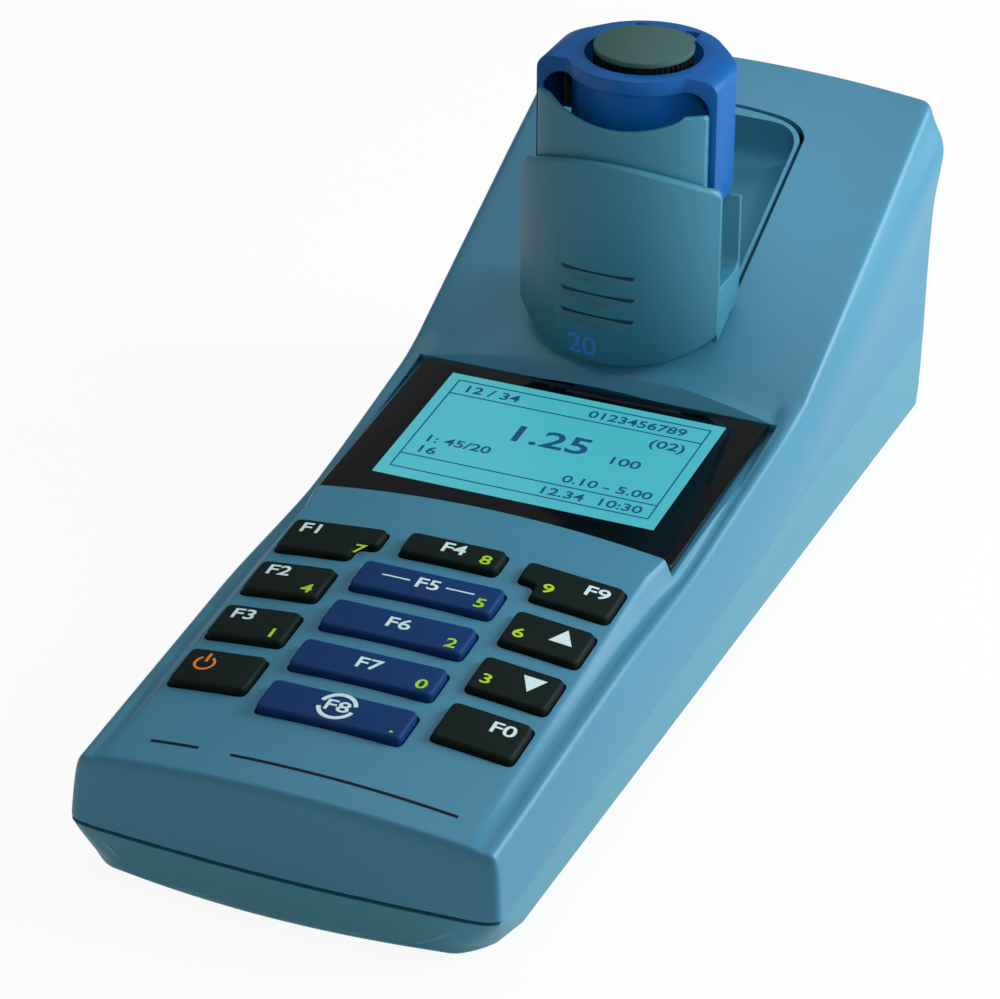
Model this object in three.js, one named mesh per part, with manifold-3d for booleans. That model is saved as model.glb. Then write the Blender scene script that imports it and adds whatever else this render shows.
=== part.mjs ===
// Handheld photometer with a fold-back cell tower, in millimetres, +Z up, front towards -Y.
import * as THREE from 'three';
import { mergeVertices } from 'three/addons/utils/BufferGeometryUtils.js';
import Module from 'manifold-3d';

const wasm = await Module();
wasm.setup();

// Casing sizes. Distances named ...At are measured back from the front seam.
const caseLength = 222;
const frontWidth = 82.4;
const rearWidth = 86;
const shoulderWidth = 91;
const frontHeight = 22.3;
const rearHeight = 71;
const keypadRise = 9.75;
const keypadEndAt = 89.6;
const browAt = 146;
const browHeight = 35.2;
const slopeAt = 150;
const slopeFootHeight = 36.8;
const faceCrown = 2.66;
const slopeCrown = 2;
const faceHalf = 35.8;
const railHeight = 24.4;
const railFootHeight = 18.9;
const railRiseAt = 96;
const valleyDepth = 0.7;
const noseBulge = 1.63;
const noseSetback = 1.93;
const noseLean = 2.9;
const cornerRadius = 3.2;
const hullCornerRadius = 10;
const cheekDraft = 1.2;
const keelFront = 2.6;
const keelRear = 0.7;
const rearLean = 2.8;
const wall = 2.6;
const floorThickness = 3;
const edgeRound = 1.6;
const seamFrontHeight = 6.3;
const seamRearHeight = 19.6;
const seamGroove = 0.8;
const lipHeight = 2;
const footHeight = 1.2;
const overrun = 2;
const clearance = 0.3;

// Foldable tower sizes.
const towerAt = 165.8;
const foldAt = 163;
const foldHeight = 50.2;
const coverHalf = 21;
const coverFrontAt = 146;
const coverCornerAt = 154.5;
const coverTopHeight = 79.5;
const coverTopArch = 4;
const coverBottomHeight = 36.4;
const coverBottomArch = 7;
const coverWall = 1.8;
const frameRearAt = 168.4;
const frameTopHeight = 75.6;
const frameFloorHalf = 17;
const frameWall = 1.4;
const adapterHalf = 18.8;
const adapterWall = 1.5;
const adapterTopHeight = 95.7;
const adapterPlate = 2.9;
const adapterWallBottom = 69.2;
const adapterTravel = 16.5;
const adapterRear = 16;
const earRadius = 4;
const boreRadius = 11.65;
const tubeRadius = 14;
const tubeLength = 17;
const panelThickness = 1.3;
const panelHalf = 17.6;
const panelTopHeight = 89.5;
const panelDip = 6;
const panelBottomHeight = 60;
const plugRadius = 9.9;
const plugDiscThickness = 1.2;
const plugProud = 1.7;
const pinRadius = 1.5;

// Recess behind the tower and the shaft below it.
const recessHalf = 19.4;
const recessStart = 5;
const recessGap = 0.8;
const scoopHalf = 17.9;
const scoopDepth = 14;
const trayWall = 1.2;
const shaftRadius = 12;
const shaftFloor = 12;
const opticsOuter = 17;

// Keypad, display and board sizes.
const keyProud = 1.4;
const keyTravel = 0.6;
const keyClearance = 0.4;
const keyRound = 1.6;
const matDepth = 7;
const matThickness = 1.2;
const boardThickness = 1.6;
const boardHalf = 34;
const sideKeyInner = 18.1;
const sideKeyOuter = 33.4;
const notchReach = 3.9;
const notchWidth = 4.2;
const centreKeyHalf = 14;
const smallKeyHalf = 9.7;
const displayHalf = 36.5;
const displayFrontAt = 90.9;
const displayRearAt = 143.5;
const displayFrontHeight = 27.9;
const displayRearHeight = 32.2;
const displayThickness = 1.5;
const screenHalf = 29.1;
const screenFrontAt = 101.2;
const screenRearAt = 139.6;

// Power sizes.
const cellRadius = 7.1;
const cellLength = 50.5;
const cellPitch = 15;
const cellFrontAt = 80;
const doorThickness = 1.6;
const doorTravel = 14;

const slopeRise = rearHeight - slopeFootHeight;
const slopeRun = caseLength - slopeAt;
const slopeAngle = Math.atan2(slopeRise, slopeRun);
const keypadAngle = Math.atan2(keypadRise, keypadEndAt);
const displayAngle = Math.atan2(displayRearHeight - displayFrontHeight, displayRearAt - displayFrontAt);

// Straight-line reading of a value between named places.
function along(at, places) {
  if (at <= places[0][0]) return places[0][1];
  for (let i = 1; i < places.length; i += 1) {
    const [a, va] = places[i - 1];
    const [b, vb] = places[i];
    if (at <= b) return va + ((vb - va) * (at - a)) / (b - a);
  }
  return places[places.length - 1][1];
}

function centreHeight(at) {
  return along(at, [
    [0, frontHeight],
    [keypadEndAt, frontHeight + keypadRise],
    [browAt, browHeight],
    [slopeAt, slopeFootHeight],
    [caseLength + rearLean, rearHeight + rearLean * Math.tan(slopeAngle)],
  ]);
}

function crownDrop(at, x) {
  const drop = along(at, [[browAt, faceCrown], [slopeAt + wall, slopeCrown]]);
  return drop * (x / faceHalf) ** 2;
}

function topHeight(at, x) {
  return centreHeight(at) - crownDrop(at, x);
}

const railRiseShare = 0.65;

function railCrest(at) {
  return along(at, [
    [0, railFootHeight],
    [railRiseAt * railRiseShare, railHeight],
    [railRiseAt, railHeight + valleyDepth],
    [browAt, topHeight(browAt, faceHalf)],
    [caseLength, topHeight(caseLength, frontWidth / 2)],
  ]);
}

// Crease low on the side wall: shares of the length and of the rear height.
const lowerCreaseShares = [
  [0, 0.02],
  [0.45, 0.05],
  [0.58, 0.13],
  [0.72, 0.3],
  [0.83, 0.44],
  [0.92, 0.56],
  [1, 0.74],
];

function lowerCrease(at) {
  return along(at, lowerCreaseShares.map(([a, h]) => [a * caseLength, h * rearHeight]));
}

const topShares = [0, 0.3, 0.55, 0.8, 1];
const creaseDrop = 2;
const creaseShare = 0.7;
const lowerEdgeShare = 0.9;
const valleyStartShare = 0.35;
const valleyRiseShare = 0.3;
const valleyEndShare = 0.9;

// Right half of a cross-section, from the top centre to the bottom centre, inset by a wall.
function halfSection(at, inset, reach) {
  const wallHalf = along(at, [[0, frontWidth / 2], [caseLength, rearWidth / 2]]);
  const bulgeHalf = along(at, [
    [0, frontWidth / 2 + clearance],
    [slopeAt, rearWidth / 2 + clearance],
    [caseLength, shoulderWidth / 2],
  ]);
  const crest = railCrest(at);
  const crease = crest - along(at, [
    [0, creaseDrop],
    [slopeAt * creaseShare, 2 * creaseDrop],
    [slopeAt, creaseDrop / 2],
    [caseLength, creaseDrop],
  ]);
  const lower = Math.max(lowerCrease(at), edgeRound * 2);
  const crestHalf = wallHalf - edgeRound / 2 - cheekDraft - inset;
  const faceReach = Math.min(faceHalf, crestHalf - 3 * clearance);
  const topAt = (x) => [x, topHeight(at + reach, x) - inset];
  const points = topShares.map((share) => topAt(share * faceReach));
  const groove = along(at, [
    [edgeRound, 0],
    [keypadEndAt * valleyStartShare, valleyDepth],
    [browAt * valleyEndShare, valleyDepth],
    [slopeAt, 0],
  ]);
  const valley = along(at, [
    [0, topHeight(0, faceHalf)],
    [keypadEndAt * valleyRiseShare, crest],
    [caseLength, crest],
  ]);
  const blend = along(at, [[slopeAt - overrun, 0], [slopeAt + overrun, 1]]);
  const flatAt = (x) => topHeight(at + reach, x);
  const mixed = (x, low) => (1 - blend) * low + blend * flatAt(x);
  const valleyX = (faceReach + crestHalf) / 2;
  const footX = (faceReach + valleyX) / 2;
  points.push([footX, mixed(footX, (valley + flatAt(footX)) / 2 - groove) - inset]);
  points.push([valleyX, mixed(valleyX, Math.min(valley, crest) - groove) - inset]);
  points.push([crestHalf, mixed(crestHalf, crest) - inset]);
  points.push([wallHalf + clearance - cheekDraft - inset, crease - inset / 2]);
  points.push([bulgeHalf - cheekDraft / 2 - inset, (crease * 2 + lower) / 3]);
  points.push([(bulgeHalf + wallHalf) / 2 - inset, (crease + lower * 3) / 4]);
  points.push([wallHalf - inset, lower * lowerEdgeShare]);
  return { points, wallHalf };
}

// Depth of the hull below the floor of the casing.
const keelDepth = (at) => along(at, [[0, keelFront], [caseLength, keelRear]]);

// How far a rounded upright corner draws a section in, near an end of the casing.
function cornerInset(fromEnd, radius) {
  const left = Math.max(0, radius - fromEnd);
  return radius - Math.sqrt(radius ** 2 - left ** 2);
}

// Closed loft of cross-sections: the skin of the casing, inset by a wall, with its bottom at a height.
function casingSkin(inset, bottomAt) {
  const stations = [];
  const body = caseLength - 2 * inset;
  const cornerShares = [0, 0.12, 0.4, 1, 2.2, 4.8];
  const placeShares = [0.14, 0.24, 0.34, 0.42, 0.5, 0.58, 0.635];
  const slopeShares = [0.25, 0.5, 0.75, 0.88];
  const places = [
    ...cornerShares.map((share) => share * cornerRadius),
    ...placeShares.map((share) => share * caseLength),
    browAt,
    slopeAt,
    slopeAt + overrun,
    ...slopeShares.map((share) => slopeAt + share * slopeRun),
    ...[1, 0.4, 0.12, 0].map((share) => caseLength - share * cornerRadius),
  ];
  for (const place of places) {
    const at = inset + (place / caseLength) * body;
    const fromEnd = Math.min(place, caseLength - place);
    const trim = inset + cornerInset(fromEnd, edgeRound);
    const rearFade = Math.max(0, 1 - (caseLength - place) / (rearHeight / 3));
    const { points, wallHalf } = halfSection(at, trim, rearFade * rearLean);
    const base = bottomAt(place) + cornerInset(fromEnd, edgeRound);
    const lowest = base + edgeRound + clearance;
    const right = points.map(([x, z], i) => [x, Math.max(z, lowest + clearance * (points.length - i))]);
    right.push([wallHalf - trim, base + edgeRound]);
    right.push([wallHalf - trim - edgeRound, base]);
    for (const share of topShares.toReversed()) {
      right.push([share * (wallHalf - trim - 2 * edgeRound), base]);
    }
    const ring = [...right];
    for (let i = right.length - 2; i > 0; i -= 1) {
      ring.push([-right[i][0], right[i][1]]);
    }
    const noseFade = Math.max(0, 1 - place / (frontHeight / 2)) ** 2;
    stations.push(ring.map(([x, z]) => {
      const hull = Math.min(1, Math.max(0, 1 - z / seamFrontHeight));
      const bulge = noseBulge * (1 + hull) * (1 - (2 * x / frontWidth) ** 2);
      const lean = noseLean * (z / frontHeight - 1);
      const frontRound = cornerRadius + hull * (hullCornerRadius - cornerRadius);
      const round = place < caseLength / 2 ? frontRound : cornerRadius;
      const narrow = 1 - cornerInset(fromEnd, Math.max(round - inset, clearance)) / wallHalf;
      const rear = rearFade * rearLean * (z / rearHeight);
      return new THREE.Vector3(x * narrow, at + noseFade * (noseSetback - bulge + lean) + rear, z);
    }));
  }
  return loft(stations, endStrips(stations[0].length / 2));
}

// Faces that close a cross-section: upright strips below the crown and a fan on each side.
function endStrips(half) {
  const faces = [];
  const count = 2 * half;
  const tops = topShares.length;
  for (let i = 0; i + 1 < tops; i += 1) {
    faces.push([i, i + 1, half - i - 1], [i, half - i - 1, half - i]);
    const left = (count - i) % count;
    faces.push([left, half + i + 1, count - i - 1], [left, half + i, half + i + 1]);
  }
  for (let i = tops - 1; i < half - tops; i += 1) {
    faces.push([i, i + 1, half - tops + 1]);
    faces.push([count - i, half + tops - 1, count - i - 1]);
  }
  return faces;
}

// Joins rings of equal length into one closed body, with the given faces at both ends.
function loft(rings, endFaces) {
  const positions = rings.flatMap((ring) => ring.flatMap((point) => [point.x, point.y, point.z]));
  const count = rings[0].length;
  const last = (rings.length - 1) * count;
  const index = [];
  for (let r = 0; r < last; r += count) {
    for (let i = 0; i < count; i += 1) {
      const next = (i + 1) % count;
      index.push(r + i, r + next, r + next + count, r + i, r + next + count, r + i + count);
    }
  }
  for (const [a, b, c] of endFaces) {
    index.push(a, c, b, last + a, last + b, last + c);
  }
  const geometry = new THREE.BufferGeometry();
  geometry.setAttribute('position', new THREE.Float32BufferAttribute(positions, 3));
  geometry.setIndex(index);
  return toSolid(geometry);
}

function toSolid(geometry) {
  const plain = geometry.clone();
  plain.deleteAttribute('normal');
  plain.deleteAttribute('uv');
  const merged = mergeVertices(plain);
  const vertProperties = new Float32Array(merged.attributes.position.array);
  const triVerts = new Uint32Array(merged.index.array);
  let solid = new wasm.Manifold(new wasm.Mesh({ numProp: 3, vertProperties, triVerts }));
  if (solid.volume() < 0) {
    const turned = triVerts.slice();
    for (let i = 0; i < turned.length; i += 3) {
      [turned[i + 1], turned[i + 2]] = [turned[i + 2], turned[i + 1]];
    }
    solid = new wasm.Manifold(new wasm.Mesh({ numProp: 3, vertProperties, triVerts: turned }));
  }
  return solid;
}

function toGeometry(solid) {
  const { vertProperties, triVerts } = solid.getMesh();
  const geometry = new THREE.BufferGeometry();
  geometry.setAttribute('position', new THREE.Float32BufferAttribute(vertProperties, 3));
  geometry.setIndex(Array.from(triVerts));
  geometry.computeVertexNormals();
  return geometry;
}

function box(x0, x1, y0, y1, z0, z1) {
  const geometry = new THREE.BoxGeometry(x1 - x0, y1 - y0, z1 - z0);
  geometry.translate((x0 + x1) / 2, (y0 + y1) / 2, (z0 + z1) / 2);
  return toSolid(geometry);
}

function cylinder(radius, height, x, y, z, sides = 32, topRadius = radius) {
  const geometry = new THREE.CylinderGeometry(topRadius, radius, height, sides);
  geometry.rotateX(Math.PI / 2);
  geometry.translate(x, y, z + height / 2);
  return toSolid(geometry);
}

// Round bar along X, from one X place to another.
function crossBar(radius, x0, x1, y, z, sides = 20) {
  const geometry = new THREE.CylinderGeometry(radius, radius, x1 - x0, sides);
  geometry.rotateZ(-Math.PI / 2);
  geometry.translate((x0 + x1) / 2, y, z);
  return toSolid(geometry);
}

// Outline drawn in X and Y, raised from one height to another.
function prism(shape, z0, z1, curveSegments = 12) {
  const geometry = new THREE.ExtrudeGeometry(shape, { depth: z1 - z0, bevelEnabled: false, curveSegments });
  geometry.translate(0, 0, z0);
  return toSolid(geometry);
}

// Outline drawn in Y and Z, run along X.
function sideProfile(shape, x0, x1, curveSegments = 12) {
  const geometry = new THREE.ExtrudeGeometry(shape, { depth: x1 - x0, bevelEnabled: false, curveSegments });
  geometry.rotateX(Math.PI / 2);
  geometry.rotateZ(Math.PI / 2);
  geometry.translate(x0, 0, 0);
  return toSolid(geometry);
}

// Outline drawn in X and Z, run along Y.
function frontProfile(shape, y0, y1, curveSegments = 12) {
  const geometry = new THREE.ExtrudeGeometry(shape, { depth: y1 - y0, bevelEnabled: false, curveSegments });
  geometry.rotateX(Math.PI / 2);
  geometry.translate(0, y1, 0);
  return toSolid(geometry);
}

function polygon(points) {
  return new THREE.Shape(points.map(([a, b]) => new THREE.Vector2(a, b)));
}

function roundedRectangle(x0, x1, y0, y1, radius) {
  const shape = new THREE.Shape();
  shape.moveTo(x0 + radius, y0);
  shape.lineTo(x1 - radius, y0);
  shape.absarc(x1 - radius, y0 + radius, radius, -Math.PI / 2, 0);
  shape.lineTo(x1, y1 - radius);
  shape.absarc(x1 - radius, y1 - radius, radius, 0, Math.PI / 2);
  shape.lineTo(x0 + radius, y1);
  shape.absarc(x0 + radius, y1 - radius, radius, Math.PI / 2, Math.PI);
  shape.lineTo(x0, y0 + radius);
  shape.absarc(x0 + radius, y0 + radius, radius, Math.PI, Math.PI * 1.5);
  return shape;
}

function moved(solid, x, y, z) {
  return solid.translate([x, y, z]);
}

// Turns a solid about the X axis through a point; a positive angle lifts its rear.
function tilted(solid, angle, y, z) {
  const degrees = THREE.MathUtils.radToDeg(angle);
  return solid.translate([0, -y, -z]).rotate([degrees, 0, 0]).translate([0, y, z]);
}

const model = new THREE.Group();
model.name = 'photometer';

const finishes = {
  casing: { color: 0x5f7f96, roughness: 0.55 },
  tower: { color: 0x4d7183, roughness: 0.5 },
  adapter: { color: 0x2a5fae, roughness: 0.45 },
  blackRubber: { color: 0x1b211f, roughness: 0.75 },
  navyRubber: { color: 0x223f7d, roughness: 0.6 },
  display: { color: 0x0b0d0e, roughness: 0.15 },
  screen: { color: 0x63c3cc, roughness: 0.3 },
  board: { color: 0x1f5a3a, roughness: 0.6 },
  metal: { color: 0xb4b8ba, roughness: 0.35, metalness: 0.9 },
  brass: { color: 0xb08d57, roughness: 0.35, metalness: 0.9 },
  blackPlastic: { color: 0x16181a, roughness: 0.5 },
  disc: { color: 0x4b5a55, roughness: 0.8 },
  foot: { color: 0x22262a, roughness: 0.9 },
  cell: { color: 0x8a8f94, roughness: 0.4 },
};

function place(name, solid, finish) {
  const mesh = new THREE.Mesh(toGeometry(solid), new THREE.MeshStandardMaterial(finishes[finish]));
  mesh.name = name;
  model.add(mesh);
  return mesh;
}

// Seam between the shells: everything above a line that climbs to the rear.
function aboveSeam(offset) {
  const rise = (seamRearHeight - seamFrontHeight) / caseLength;
  const reach = 2 * caseLength;
  const heightAt = (at) => seamFrontHeight + rise * at + offset;
  const shape = polygon([
    [-reach, heightAt(-reach)],
    [reach, heightAt(reach)],
    [reach, 2 * rearHeight],
    [-reach, 2 * rearHeight],
  ]);
  return sideProfile(shape, -shoulderWidth, shoulderWidth);
}

const lowerInside = footHeight + floorThickness;
const middleHeight = footHeight + floorThickness / 2;
const outerSkin = casingSkin(0, (at) => footHeight - keelDepth(at));
const innerSkin = casingSkin(wall, () => lowerInside);
const lipSkin = casingSkin(wall / 2, () => middleHeight);
const lipInnerSkin = casingSkin(wall / 2 + clearance, () => middleHeight);

// Recess frame: u runs up the slope from the fold axis foot, n stands on the slope.
const slopeFoot = centreHeight(foldAt);
function onSlope(solid) {
  return tilted(moved(solid, 0, foldAt, slopeFoot), slopeAngle, foldAt, slopeFoot);
}

const recessCorner = 5;
const recessArch = 1.6;

// The scoop ends just behind the arc that the top of the adapter sweeps as the tower folds.
const hingeRise = foldHeight - slopeFoot;
const hingeUp = hingeRise * Math.sin(slopeAngle);
const hingeOver = hingeRise * Math.cos(slopeAngle);
const sweepRadius = Math.hypot(towerAt + adapterRear - foldAt, adapterTopHeight - foldHeight);
const scoopEnd = hingeUp + Math.sqrt(sweepRadius ** 2 - hingeOver ** 2) + clearance;
const recessEnd = scoopEnd + trayWall + recessGap;

// Outline of the recess with an arched rear end, drawn in by a gap.
function recessOutline(half, start, end, gap) {
  const side = half - gap;
  const rear = end - gap;
  const shape = new THREE.Shape();
  shape.moveTo(-side, start + gap);
  shape.lineTo(side, start + gap);
  shape.lineTo(side, rear - recessCorner);
  shape.quadraticCurveTo(side - recessCorner / 4, rear - recessArch / 2, side - recessCorner * 1.5, rear);
  shape.quadraticCurveTo(0, rear + recessArch, recessCorner * 1.5 - side, rear);
  shape.quadraticCurveTo(recessCorner / 4 - side, rear - recessArch / 2, -side, rear - recessCorner);
  return shape;
}

// Scoop: a trough along the slope with rounded rear corners.
function scoop(grow) {
  const half = scoopHalf + grow;
  const depth = scoopDepth + grow;
  const trough = new THREE.Shape();
  trough.moveTo(-half, scoopDepth);
  trough.lineTo(-half, -depth / 4);
  trough.quadraticCurveTo(-half, -depth, 0, -depth);
  trough.quadraticCurveTo(half, -depth, half, -depth / 4);
  trough.lineTo(half, scoopDepth);
  const run = frontProfile(trough, recessStart - 4 * overrun - grow, scoopEnd + grow, 8);
  const plan = prism(
    roundedRectangle(-half, half, recessStart - 4 * overrun - grow, scoopEnd + grow, recessCorner + grow),
    -2 * depth, 2 * depth, 5);
  return onSlope(run.intersect(plan));
}

// Shells of the casing.
const recessLow = -wall - 2 * overrun;
const recessShape = recessOutline(recessHalf, recessStart, recessEnd, 0);
const recessCut = onSlope(prism(recessShape, recessLow, scoopDepth, 6));
const shaftCollar = shaftRadius + trayWall;
const legInner = shaftCollar - clearance;
const legOuter = frameFloorHalf - trayWall - clearance;
const legHalfDepth = 3.4;
const shaftCut = cylinder(shaftCollar + recessGap, rearHeight, 0, towerAt, seamRearHeight)
  .add(box(-legOuter - recessGap, legOuter + recessGap, foldAt - legHalfDepth - recessGap,
    foldAt + legHalfDepth + 2 * overrun, seamRearHeight, foldHeight));

const displayRoom = displayHalf + edgeRound;
const seatDrop = displayThickness + clearance;
const displayCut = sideProfile(polygon([
  [displayFrontAt - clearance, displayFrontHeight - seatDrop],
  [displayRearAt + clearance, displayRearHeight - seatDrop],
  [displayRearAt + clearance, displayRearHeight],
  [browAt + overrun, displayRearHeight + browAt + overrun - displayRearAt - clearance],
  [browAt + overrun, rearHeight],
  [displayFrontAt - clearance, rearHeight],
]), -displayRoom, displayRoom);
const screenRoom = screenHalf + overrun;
const screenCut = box(-screenRoom, screenRoom, screenFrontAt - overrun, screenRearAt + overrun / 2,
  seamRearHeight, rearHeight);

// Keypad frame: v runs back along the keypad face, w stands on it.
function onKeypad(solid) {
  return tilted(moved(solid, 0, 0, frontHeight), keypadAngle, 0, frontHeight);
}

// Moves each corner of an outline outwards by a distance; a negative distance shrinks it.
function grown(corners, distance) {
  return corners.map(([x, y], i) => {
    const [px, py] = corners[(i + corners.length - 1) % corners.length];
    const [nx, ny] = corners[(i + 1) % corners.length];
    const before = new THREE.Vector2(x - px, y - py).normalize();
    const after = new THREE.Vector2(nx - x, ny - y).normalize();
    const out = new THREE.Vector2(before.y + after.y, -before.x - after.x);
    const scale = distance / (0.5 * out.lengthSq());
    return [x + out.x * scale, y + out.y * scale];
  });
}

// Rounds every corner of an outline with a short arc.
function rounded(corners, radius, steps = 3) {
  return corners.flatMap(([x, y], i) => {
    const here = new THREE.Vector2(x, y);
    const before = new THREE.Vector2(...corners[(i + corners.length - 1) % corners.length]);
    const after = new THREE.Vector2(...corners[(i + 1) % corners.length]);
    const start = here.clone().add(before.sub(here).normalize().multiplyScalar(radius));
    const end = here.clone().add(after.sub(here).normalize().multiplyScalar(radius));
    const curve = new THREE.QuadraticBezierCurve(start, here, end);
    return curve.getPoints(steps).map((point) => [point.x, point.y]);
  });
}

const rectangle = (x0, x1, y0, y1) => [[x0, y0], [x1, y0], [x1, y1], [x0, y1]];
const mirroredOutline = (corners) => corners.map(([x, y]) => [-x, y]).reverse();

// Key rows from the display towards the front: front and rear edge of each, as shares of the keypad.
const sideRowShares = [[0.753, 0.865], [0.594, 0.704], [0.431, 0.541], [0.263, 0.382]];
const centreRowShares = [[0.798, 0.873], [0.657, 0.75], [0.513, 0.607], [0.369, 0.463], [0.221, 0.318]];
const placedRow = (row) => row.map((share) => share * keypadEndAt);
const wideKey = ([front, rear]) => [
  [sideKeyInner, front],
  [sideKeyOuter, front],
  [sideKeyOuter, rear],
  [sideKeyInner - notchReach, rear],
  [sideKeyInner - notchReach, front + notchWidth],
  [sideKeyInner, front + notchWidth],
];
const keys = [];
sideRowShares.map(placedRow).forEach((row, i) => {
  const outline = i === 0 ? wideKey(row) : rectangle(sideKeyInner, sideKeyOuter, ...row);
  keys.push({ name: `key_left_${i + 1}`, outline: mirroredOutline(outline), finish: 'blackRubber' });
  keys.push({ name: `key_right_${i + 1}`, outline, finish: 'blackRubber' });
});
centreRowShares.map(placedRow).forEach((row, i) => {
  const half = i === 0 ? smallKeyHalf : centreKeyHalf;
  const finish = i === 0 ? 'blackRubber' : 'navyRubber';
  keys.push({ name: `key_centre_${i + 1}`, outline: rectangle(-half, half, ...row), finish });
});

const keyFlange = 1.1;
const keyEdge = 0.8;
const keyTaper = 0.56;
const crownAt = (x) => -faceCrown * (x / faceHalf) ** 2;

function keyBody(corners) {
  const flangeTop = -matDepth + keyFlange;
  const levels = [
    [keyFlange / 2, () => -matDepth],
    [keyFlange / 2, () => flangeTop],
    [0, () => flangeTop],
    [0, (x) => crownAt(x) + keyProud - keyEdge],
    [-keyTaper, (x) => crownAt(x) + keyProud],
  ];
  const rings = levels.map(([grow, heightAt]) => rounded(grown(corners, grow), keyRound + grow / 2)
    .map(([x, v]) => new THREE.Vector3(x, v, heightAt(x))));
  const flat = rings[0].map((point) => new THREE.Vector2(point.x, point.y));
  return onKeypad(loft(rings, THREE.ShapeUtils.triangulateShape(flat, [])));
}

let topShell = outerSkin.subtract(innerSkin).subtract(recessCut).subtract(shaftCut)
  .subtract(displayCut).subtract(screenCut)
  .intersect(aboveSeam(seamGroove / 2))
  .subtract(lipSkin.subtract(aboveSeam(lipHeight + clearance)));
for (const key of keys) {
  const hole = prism(polygon(rounded(grown(key.outline, keyClearance), keyRound)), -matDepth, matDepth);
  topShell = topShell.subtract(onKeypad(hole));
}

// Screw posts: a boss on the lower shell meets a post under the upper shell.
const postRadius = 3.6;
const screwRadius = 1.5;
const screwHeadRadius = 2.8;
const screwHead = 2.2;
const postPlaces = [];
for (const side of [-1, 1]) {
  postPlaces.push([side * (frontWidth / 2 - wall - 2 * postRadius), 3 * postRadius]);
  postPlaces.push([side * (rearWidth / 2 - wall - 2 * postRadius), caseLength - 3 * postRadius]);
}
const seamAt = (at) => seamFrontHeight + ((seamRearHeight - seamFrontHeight) * at) / caseLength;
let bottomShell = outerSkin.subtract(aboveSeam(-seamGroove / 2))
  .add(lipInnerSkin.intersect(aboveSeam(-seamGroove / 2 - wall)).subtract(aboveSeam(lipHeight)))
  .subtract(innerSkin);
const screws = [];
for (const [x, at] of postPlaces) {
  const joinHeight = Math.max(seamAt(at), lowerInside + 2 * screwHead);
  const boss = cylinder(postRadius, joinHeight - lowerInside + overrun, x, at, lowerInside - overrun, 16);
  const post = cylinder(postRadius, rearHeight, x, at, joinHeight + clearance, 16).intersect(lipInnerSkin);
  topShell = topShell.add(post);
  topShell = topShell.subtract(cylinder(screwRadius, 3 * screwHead, x, at, joinHeight - overrun, 12));
  const headRoom = footHeight + screwHead + clearance - lowerInside;
  bottomShell = bottomShell.add(boss)
    .subtract(cylinder(screwRadius + clearance, 2 * joinHeight, x, at, -keelFront, 12))
    .subtract(cylinder(screwHeadRadius + clearance, lowerInside, x, at, headRoom, 16));
  const headLow = footHeight + clearance;
  screws.push(cylinder(screwHeadRadius, screwHead - clearance, x, at, headLow, 16)
    .add(cylinder(screwRadius - clearance, joinHeight + screwHead - footHeight, x, at, headLow, 12)));
}

// Battery bay, door and cells under the display.
const cellCount = 4;
const bayHalf = (cellCount * cellPitch) / 2 + clearance;
const bayFront = cellFrontAt - 2 * overrun;
const bayRear = cellFrontAt + cellLength + 2 * overrun;
const bayWall = 1.2;
const cellHeight = footHeight + doorThickness + 3 * clearance + cellRadius;
const bayTop = cellHeight + cellRadius + clearance;
const doorHalf = bayHalf + overrun;
const doorLow = footHeight + clearance;
const doorTop = doorLow + doorThickness;
const doorFront = bayFront - overrun;
const doorRoomFront = bayFront - doorTravel - 2 * overrun;
const doorRoomRear = bayRear + overrun;
const doorRear = doorRoomRear - clearance;
bottomShell = bottomShell
  .subtract(box(-bayHalf, bayHalf, bayFront, bayRear, -keelFront, bayTop))
  .subtract(box(-doorHalf - clearance, doorHalf + clearance, doorRoomFront, doorRoomRear,
    doorLow - clearance / 2, doorTop + clearance))
  .subtract(box(-bayHalf, bayHalf, doorRoomFront, doorRoomRear, -keelFront, doorTop));
const batteryDoor = box(-bayHalf + clearance, bayHalf - clearance, doorFront, doorRear,
  footHeight - keelDepth(bayRear), doorTop)
  .add(box(-doorHalf, doorHalf, doorFront, doorRear, doorLow, doorTop));
const batteryBay = box(-bayHalf - bayWall, bayHalf + bayWall, bayFront - bayWall, bayRear + bayWall,
  lowerInside + clearance, bayTop + bayWall)
  .subtract(box(-bayHalf, bayHalf, bayFront, bayRear, 0, bayTop));
const contactThickness = 0.5;
const contacts = [bayFront + clearance, bayRear - clearance - contactThickness].map((at, end) => {
  let plate = box(-bayHalf + clearance, bayHalf - clearance, at, at + contactThickness, doorTop + clearance,
    bayTop - clearance);
  const gap = 2 * overrun - contactThickness - 2 * clearance;
  for (let i = 0; i < cellCount; i += 1) {
    const x = (i - (cellCount - 1) / 2) * cellPitch;
    const bump = new THREE.CylinderGeometry(cellRadius / 3, cellRadius / 2, gap, 12);
    bump.rotateX(end === 0 ? 0 : Math.PI);
    bump.translate(x, end === 0 ? at + contactThickness + gap / 2 : at - gap / 2, cellHeight);
    plate = plate.add(toSolid(bump));
  }
  return plate;
});

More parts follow.
